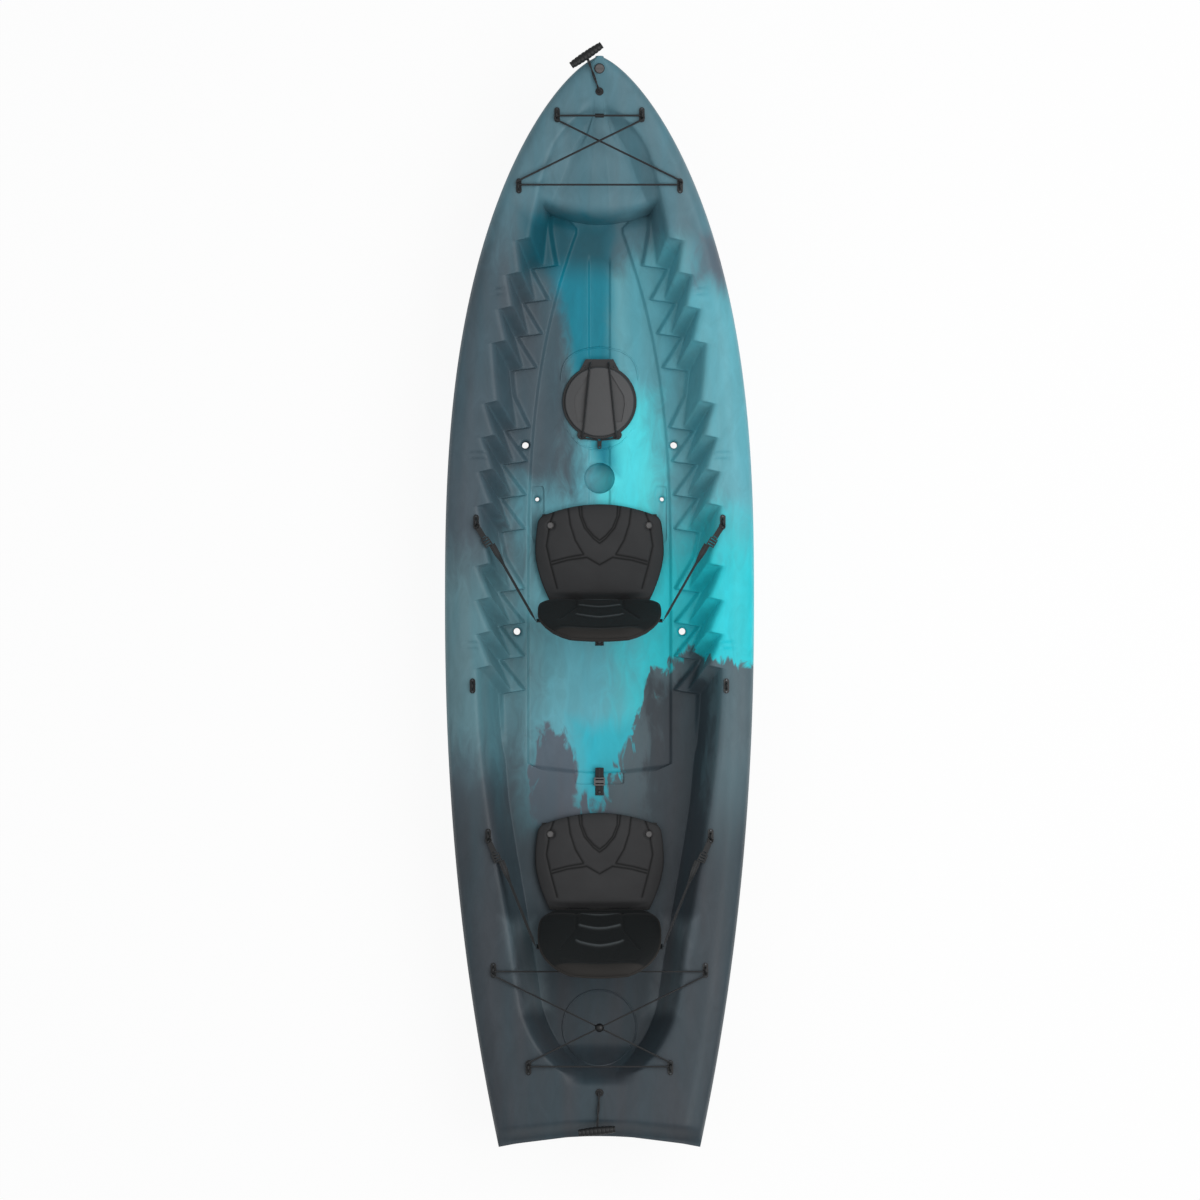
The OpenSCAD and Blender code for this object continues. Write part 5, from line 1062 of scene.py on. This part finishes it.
class KAYAK_OT_back_pads(bpy.types.Operator):
    """Front and rear back pads"""
    bl_idname = "kayak.back_pads"
    bl_label = "Back pads"

    def execute(self, context):
        seat, colours = context.scene.kayak_seat, context.scene.kayak_colour
        # The back cloth's seam tone is a painted highlight along the ribs' ridges
        # Threads are about 1 mm; drawn at 3 mm so that they show
        cloth = fabric("coated_nylon_back_cloth", colours.back, colours.back_rib_highlight, colours.back_roll_lit,
                       3.0, "Z")
        # The roll tone, in the back cloth's edge mark and in the tape, is brown-grey painted lighter where it
        # faces the light
        tape = fabric("woven_nylon_edge_tape", colours.back_roll_lit, colours.back_roll_lit, colours.back_roll_lit,
                      3.0, "Z")
        for name, front, base, tilt in (("front", seat.front_y, seat.front_base, seat.front_recline),
                                        ("rear", seat.rear_y, seat.rear_base, seat.rear_recline)):
            hinge = (front - seat.hinge_back, base + seat.hinge_up, tilt)
            pad = self.pad(seat, name + "_back_cushion", hinge)
            edge = self.piping(seat, name + "_back_piping", hinge)
            dress(pad, cloth)
            dress(edge, tape)
            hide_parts(name + "_back_pad")
            for piece in (pad, edge):
                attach(piece, name + "_backrest")
        return {"FINISHED"}

    def outline(self, seat, u, w):
        """Place across and up a backrest: a superelliptic half width and an arched top."""
        x = u * seat.back_half * (1 - (np.abs(w - 0.48) / 0.56) ** 2.8) ** 0.45
        return x, w * seat.back_height + 0.012 * (1 - (x / seat.back_half) ** 2) * smooth((w - 0.6) / 0.4)

    def lifted(self, seat, x, v, lift, hinge):
        """Points of the backrest: its sides wrap forward by a parabola, and it leans back about its hinge."""
        y, z, tilt = hinge
        lift = lift + seat.back_gap + seat.back_wrap * (x / seat.back_half) ** 2 * smooth((v + 0.02) / 0.12)
        return np.stack([x, y - v * math.sin(tilt) + lift * math.cos(tilt),
                         z + v * math.cos(tilt) + lift * math.sin(tilt)], -1)

    def pad(self, seat, name, hinge):
        """Cushion: crowned front with a rolled top, swelled, then ribs raised with a painted highlight along
        their ridges, and panel seams pressed in.
        """
        u = np.linspace(-1, 1, 91)[None]
        w = np.linspace(0.03, 1, 91)[:, None]
        x, v = self.outline(seat, u, w)
        crown = (1 - np.abs(u) ** 6) * smooth((w - 0.075) / 0.13) * (1 - np.maximum(0, (w - 0.6) / 0.4) ** 8)
        roll = 0.007 * smooth((w - 0.88) / 0.05) * (1 - np.abs(u) ** 6)
        top = lerp(0.009, seat.back_thickness, np.maximum(0, crown)) + roll
        rim = (np.abs(u) > 0.999) | (w < 0.08) | (w > 0.999)
        held = rim | (line_field(np.stack([np.abs(x), v], -1), BACK_LINES) < 0.0028)
        upper = self.lifted(seat, x, v, top, hinge)
        lower = self.lifted(seat, x, v, 0 * top, hinge)
        obj = pillow(name, upper[::-1], lower[::-1])
        swell(obj, np.concatenate([held[::-1].ravel(), np.ones(held.size, bool)]), seat.swell_cap)
        p = positions(obj)
        out = np.array([0.0, math.cos(hinge[2]), math.sin(hinge[2])])
        rel = p - np.array([0.0, hinge[0], hinge[1]])
        x, v = p[:, 0], rel[:, 2] * out[1] - rel[:, 1] * out[2]
        w = v / seat.back_height
        wrap = seat.back_wrap * (x / seat.back_half) ** 2
        front = smooth((rel @ out - seat.back_gap - wrap - 0.005) / 0.005)
        # Painted highlight along each rib's ridge, carried in the cloth's seam mark
        marks = np.zeros(len(p))
        for rib, wide in BACK_RIBS:
            gap = np.abs(w - rib + 0.08 * (x / 0.074) ** 2) * seat.back_height
            on = smooth((wide - np.abs(x)) / 0.008) * front
            p += (0.004 * np.exp(-(gap / 0.008) ** 2) * on)[:, None] * out
            marks = np.maximum(marks, np.exp(-(gap / 0.005) ** 2) * on)
        gap = line_field(np.stack([np.abs(x), v], -1), BACK_LINES)
        p -= (0.002 * np.exp(-(gap / 0.0035) ** 2) * front)[:, None] * out
        obj.data.vertices.foreach_set("co", np.ascontiguousarray(p, np.float32).ravel())
        marked(obj, "seam", marks)
        # Edge mark: the top roll, brown-grey and painted lighter where it faces up to the light
        marked(obj, "edge", smooth((w - 0.92) / 0.03))
        return obj

    def piping(self, seat, name, hinge):
        """Bound edge: a tube once round the outline, starting and ending below."""
        t = np.linspace(0, 1, 60)
        low = 0.03
        u = np.concatenate([-t, 0 * t - 1, 2 * t - 1, 0 * t + 1, 1.02 - 1.04 * t])
        w = np.concatenate([0 * t + low, lerp(low, 1, t), 0 * t + 1, lerp(1, low, t), 0 * t + low])
        keep = np.append(True, np.hypot(np.diff(u), np.diff(w)) > 1e-6)
        x, v = self.outline(seat, np.clip(u, -1, 1)[keep], w[keep])
        return tube(name, self.lifted(seat, x, v, 0.0045, hinge), 0.007, 12)[0]


class KAYAK_OT_straps(bpy.types.Operator):
    """Seat straps and floor anchor straps"""
    bl_idname = "kayak.straps"
    bl_label = "Straps"

    def execute(self, context):
        hull, seat, colours = context.scene.kayak_hull, context.scene.kayak_seat, context.scene.kayak_colour
        # Ribs of the weave are about 1 mm; drawn at 3 mm so that they show
        web = braid("woven_polyester_webbing", colours.web, colours.fleck, 3.0, 6)
        for end in ("front", "rear"):
            for side in ("port", "starboard"):
                name = f"{end}_strap_{side}"
                strap, path = self.strap(seat, name)
                dress(strap, web)
                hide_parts(name)
                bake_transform(strap)
        anchors = ((seat.front_anchor, hull.floor), (seat.middle_anchor, hull.floor + hull.platform))
        for i, (y, z) in enumerate(anchors):
            anchor = self.anchor(seat, f"anchor_webbing_{i}", y, z)
            dress(anchor, web)
            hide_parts("anchor_straps")
            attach(anchor, "hull")
        return {"FINISHED"}

    def strap(self, seat, name):
        """Webbing along a strap's run: flat at the adjuster, soon near on edge, upright at the backrest."""
        points = positions(frame["nodes"][name])
        order = np.argsort(-points[:, 1])
        t = np.linspace(0, 1, 120)
        path = lerp(points[order[:4]].mean(0), points[order[-4:]].mean(0), t[:, None])
        path[:, 2] = lerp(path[0, 2], path[-1, 2], smooth(t))
        _, s, u = path_frames(path)
        twist = np.radians(68 * smooth((t - 0.03) / 0.25) + 22 * smooth((t - 0.9) / 0.1))[:, None]
        wide, thick = np.cos(twist) * s + np.sin(twist) * u, np.cos(twist) * u - np.sin(twist) * s
        return ribbon(name + "_webbing", path, wide, thick, seat.strap_width, seat.strap_thickness), path

    def anchor(self, seat, name, y, z):
        """Webbing along the floor, folded back on itself as far as the buckle."""
        a = np.linspace(-np.pi / 2, np.pi / 2, 9)
        fold = np.stack([0.0014 * np.cos(a) - 0.002, 0.0014 * np.sin(a) + 0.003], 1)
        run = np.concatenate([[(-0.082, 0.0016)], fold, [(-0.02, 0.0044), (-0.0275, 0.0042)]])
        path, _ = resampled(np.column_stack([0 * run[:, 0], run[:, 0] + y, run[:, 1] + z]), 0.0008)
        t, _, _ = path_frames(path)
        side = np.tile([1.0, 0.0, 0.0], (len(path), 1))
        return ribbon(name, path, side, np.cross(side, t), seat.anchor_width, seat.anchor_thickness)


class KAYAK_OT_cords(bpy.types.Operator):
    """Deck bungees, hatch cords and carry handle cords"""
    bl_idname = "kayak.cords"
    bl_label = "Cords"

    def execute(self, context):
        hull, sizes, colours = context.scene.kayak_hull, context.scene.kayak_cord, context.scene.kayak_colour
        # Braid steps are about 2 mm; drawn at 6 mm so that they show
        cord = braid("braided_elastic_cord", colours.cord, colours.fleck, 6.0, 4)
        mm = 0.001
        runs = []
        # Fore and aft eyes of one side: place across and along
        for name, fore, aft, d in (("bow_bungee", (0.124, 1.428), (0.236, 1.22), sizes.bow_diameter),
                                   ("stern_bungee", (0.311, -1.079), (0.208, -1.364), sizes.stern_diameter)):
            runs.append((name, "hull", name, self.bungee(hull, fore, aft, d), d, "taut"))
        for side, name in ((-1, "port"), (1, "starboard")):
            path = np.array([(27, 709, 107.3), (29, 697, 118), (34, 645, 121.75), (39, 594, 123),
                             (44, 543, 121.75), (49, 500, 118), (52, 486, 109.3),
                             (3.5, 480.8, 102.3)]) * mm * (side, 1, 1)
            path = filleted(path[None], [0.006] * 6, [0] * 7)[0]
            runs.append(("hatch_cord_" + name, "hatch_cover", "hatch_bungee", path,
                         sizes.hatch_diameter, "taut"))
        for end, foot, tip in (("bow", (0, 1496, 334.386), (-38.14, 1600.8, 344.67)),
                               ("stern", (0, -1437, 308.511), (-7.78, -1548.25, 318.86))):
            for i, turn in enumerate((0, math.pi)):
                path = self.strand(np.array(foot) * mm, np.array(tip) * mm, turn, sizes.strand_diameter)
                runs.append((f"{end}_strand_{i}", end + "_handle", end + "_handle_cord", path,
                             sizes.strand_diameter, "loose"))
            knot = self.knot(f"{end}_knot", np.array(foot) * mm, sizes.strand_diameter)
            dress(knot, cord)
            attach(knot, end + "_handle")
        for name, body, part, path, d, lay in runs:
            obj, path = tube(name + "_braid", path, d, sizes.sides, strands=4)
            dress(obj, cord)
            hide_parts(part)
            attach(obj, body)
        return {"FINISHED"}

    def bungee(self, hull, fore, aft, d):
        """A closed bungee's run: round one leg of each of four eyes, its two spans crossing in the middle."""
        leg_radius, leg_gap, clear, height = 0.0025, 0.009, 0.00045, 0.01

        def leg(eye, side, off, start, end):
            a = np.linspace(start, end, 13)
            r = leg_radius + d / 2 + clear
            points = np.stack([side * r * np.cos(a), off + r * np.sin(a), 0 * a + height], 1)
            return on_deck(hull, side * eye[0], eye[1], points)

        turn, right = math.atan2(fore[1] - aft[1], fore[0] + aft[0]), math.pi / 2
        fore_out = leg(fore, 1, -leg_gap, right, turn - right)
        aft_in = leg(aft, -1, leg_gap, right - turn, -right)
        aft_out = leg(aft, 1, leg_gap, -right, right - turn)
        fore_in = leg(fore, -1, -leg_gap, turn - right, right)
        a, b = fore_out[-1], aft_in[0]
        middle, lift = lerp(a, b, a[0] / (a[0] - b[0])), np.array([0, 0, 0.004])
        end = fore_out[0] * (0, 1, 1)
        one = np.array([0.001, 0, 0])
        path = np.concatenate([[end + one], fore_out, [middle + lift], aft_in, aft_out, [middle - lift],
                               fore_in, [end - one]])
        return filleted(path[None], [0.01] * (len(path) - 2), [0] * (len(path) - 1))[0]

    def strand(self, foot, tip, turn, d):
        """One of two strands laid round each other from the deck to the grip."""
        t = np.linspace(0, 1, 60)
        path = lerp(foot, tip, t[:, None])
        _, s, u = path_frames(path)
        a = (turn + 2.5 * np.pi * t)[:, None]
        return path + 0.525 * d * (np.cos(a) * s + np.sin(a) * u)

    def knot(self, name, foot, d):
        """A trefoil knot at the deck, small enough to turn inside the grommet's ball socket."""
        t = np.linspace(0, 2 * np.pi + 0.04, 160)
        loop = np.stack([np.sin(t) + 2 * np.sin(2 * t), np.cos(t) - 2 * np.cos(2 * t), -1.6 * np.sin(3 * t)])
        return tube(name, foot + 0.4 * d * loop.T, d, 12, 0.0012, 4)[0]


class KAYAK_OT_fittings(bpy.types.Operator):
    """Materials and softened edges of the moulded fittings"""
    bl_idname = "kayak.fittings"
    bl_label = "Fittings"

    def execute(self, context):
        colours = context.scene.kayak_colour
        # Mould grain is finer than a millimetre; drawn at about 1 mm so that it shows
        kinds = {"black_plastic": moulded("moulded_nylon_black", colours.black, 0.42, 0.8, 0.12),
                 "grey_plastic": moulded("moulded_nylon_grey", colours.grey, 0.45, 0.8, 0.08),
                 "rubber_seal": moulded("moulded_rubber", colours.rubber, 0.6, 0.7, 0.1),
                 "stainless_steel": steel(colours)}
        grip = moulded("moulded_elastomer_grip", colours.grip, 0.5, 1.0, 0.1)
        own = {"hatch_lid": moulded("moulded_polypropylene_lid", colours.lid, 0.48, 1.0, 0.06),
               "hatch_ring": moulded("moulded_polypropylene_ring", colours.ring, 0.45, 1.0, 0.06),
               "bow_handle_grip": grip, "stern_handle_grip": grip}
        for part in frame["record"]["subparts"]:
            mat = own.get(part["node"]) or kinds.get(part["material_slot"])
            if mat is None:
                continue
            obj = dress(frame["nodes"][part["node"]], mat)
            bevel = obj.modifiers.new("Edges", "BEVEL")
            bevel.width = 0.0008
            bevel.segments = 2
            bevel.limit_method = "ANGLE"
            bevel.angle_limit = math.radians(40)
        return {"FINISHED"}


class KAYAK_OT_stage(bpy.types.Operator):
    """Studio floor, light and camera"""
    bl_idname = "kayak.stage"
    bl_label = "Stage"

    def execute(self, context):
        scene = context.scene
        stage = scene.kayak_stage
        scene.world = self.sky(stage)
        scene.view_settings.view_transform = "Standard"
        floor = self.floor(stage, scene.kayak_colour)
        lamps = [self.lamp(stage, "softbox", 1, stage.key), self.lamp(stage, "fill", -1, stage.fill)]
        cam = bpy.data.cameras.new("camera")
        cam.sensor_width = 36.0
        cam.lens = cam.sensor_width * stage.view_distance / stage.view_width
        cam.clip_end = 200.0
        eye = bpy.data.objects.new("camera", cam)
        eye.location = (stage.camera_x, stage.camera_y, stage.camera_height)
        scene.collection.objects.link(eye)
        scene.camera = eye
        return {"FINISHED"}

    def floor(self, stage, colours):
        """A square floor of matt paint that looks nearly white to the camera."""
        corner = np.array([(-1, -1), (1, -1), (1, 1), (-1, 1)]) * stage.floor_half
        plane = np.column_stack([corner, np.full(4, -stage.floor_drop)])
        floor = make("studio_floor", plane, [np.array([[0, 1, 2, 3]])])
        mat, tree = blank("painted_studio_floor")
        camera = node(tree, "ShaderNodeLightPath", "Is Camera Ray")
        seen = node(tree, "ShaderNodeMath", 0, {0: camera, 1: 0.93}, operation="MULTIPLY")
        paint = node(tree, "ShaderNodeBsdfPrincipled", 0, {"Base Color": linear(colours.floor),
                                                           "Roughness": 0.9})
        white = node(tree, "ShaderNodeEmission", 0, {"Color": (1, 1, 1, 1), "Strength": 1.0})
        both = node(tree, "ShaderNodeMixShader", 0, {0: seen, 1: paint, 2: white})
        node(tree, "ShaderNodeOutputMaterial", None, {"Surface": both})
        return dress(floor, mat)

    def sky(self, stage):
        """A soft light from all round, which is plain white where it is seen."""
        world = bpy.data.worlds.new("studio")
        world.use_nodes = True
        tree = world.node_tree
        tree.nodes.clear()
        camera = node(tree, "ShaderNodeLightPath", "Is Camera Ray")
        through = camera.node.outputs["Is Transmission Ray"]
        seen = node(tree, "ShaderNodeMath", 0, {0: camera, 1: through}, operation="MAXIMUM")
        soft = node(tree, "ShaderNodeBackground", 0, {"Color": (0.96, 0.98, 1.0, 1), "Strength": stage.sky})
        clear = node(tree, "ShaderNodeBackground", 0, {"Color": (1, 1, 1, 1), "Strength": 1.0})
        both = node(tree, "ShaderNodeMixShader", 0, {0: seen, 1: soft, 2: clear})
        node(tree, "ShaderNodeOutputWorld", None, {"Surface": both})
        return world

    def lamp(self, stage, name, side, watts):
        """A large softbox beside the kayak, leaned towards it."""
        light = bpy.data.lights.new(name, "AREA")
        light.shape = "RECTANGLE"
        light.size, light.size_y = stage.lamp_width, stage.lamp_length
        light.energy = watts
        lamp = bpy.data.objects.new(name, light)
        lamp.location = (side * stage.lamp_across, 0.0, stage.lamp_height)
        lamp.rotation_euler = (0, side * stage.lamp_lean, 0)
        bpy.context.scene.collection.objects.link(lamp)
        return lamp


GROUPS = {"kayak_hull": KayakHull, "kayak_seat": KayakSeat, "kayak_cord": KayakCord,
          "kayak_colour": KayakColour, "kayak_stage": KayakStage}
STEPS = (KAYAK_OT_skin, KAYAK_OT_seat_pads, KAYAK_OT_back_pads, KAYAK_OT_straps, KAYAK_OT_cords,
         KAYAK_OT_fittings, KAYAK_OT_stage)


class KAYAK_PT_panel(bpy.types.Panel):
    """Lists the steps of the kayak"""
    bl_idname = "KAYAK_PT_panel"
    bl_label = "Kayak"
    bl_space_type = "VIEW_3D"
    bl_region_type = "UI"
    bl_category = "Kayak"

    def draw(self, context):
        for step in STEPS:
            self.layout.operator(step.bl_idname)


def register():
    """Registers the groups, the steps and the panel."""
    for name, group in GROUPS.items():
        bpy.utils.register_class(group)
        setattr(bpy.types.Scene, name, PointerProperty(type=group))
    for step in STEPS + (KAYAK_PT_panel,):
        bpy.utils.register_class(step)


def unregister():
    """Undoes register."""
    for step in (KAYAK_PT_panel,) + STEPS[::-1]:
        bpy.utils.unregister_class(step)
    for name, group in reversed(GROUPS.items()):
        delattr(bpy.types.Scene, name)
        bpy.utils.unregister_class(group)


def main():
    """Runs every step in order."""
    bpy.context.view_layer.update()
    register()
    for step in STEPS:
        group, name = step.bl_idname.split(".")
        if getattr(getattr(bpy.ops, group), name)() != {"FINISHED"}:
            raise RuntimeError(step.bl_label + " did not finish")


if __name__ == "__main__":
    main()
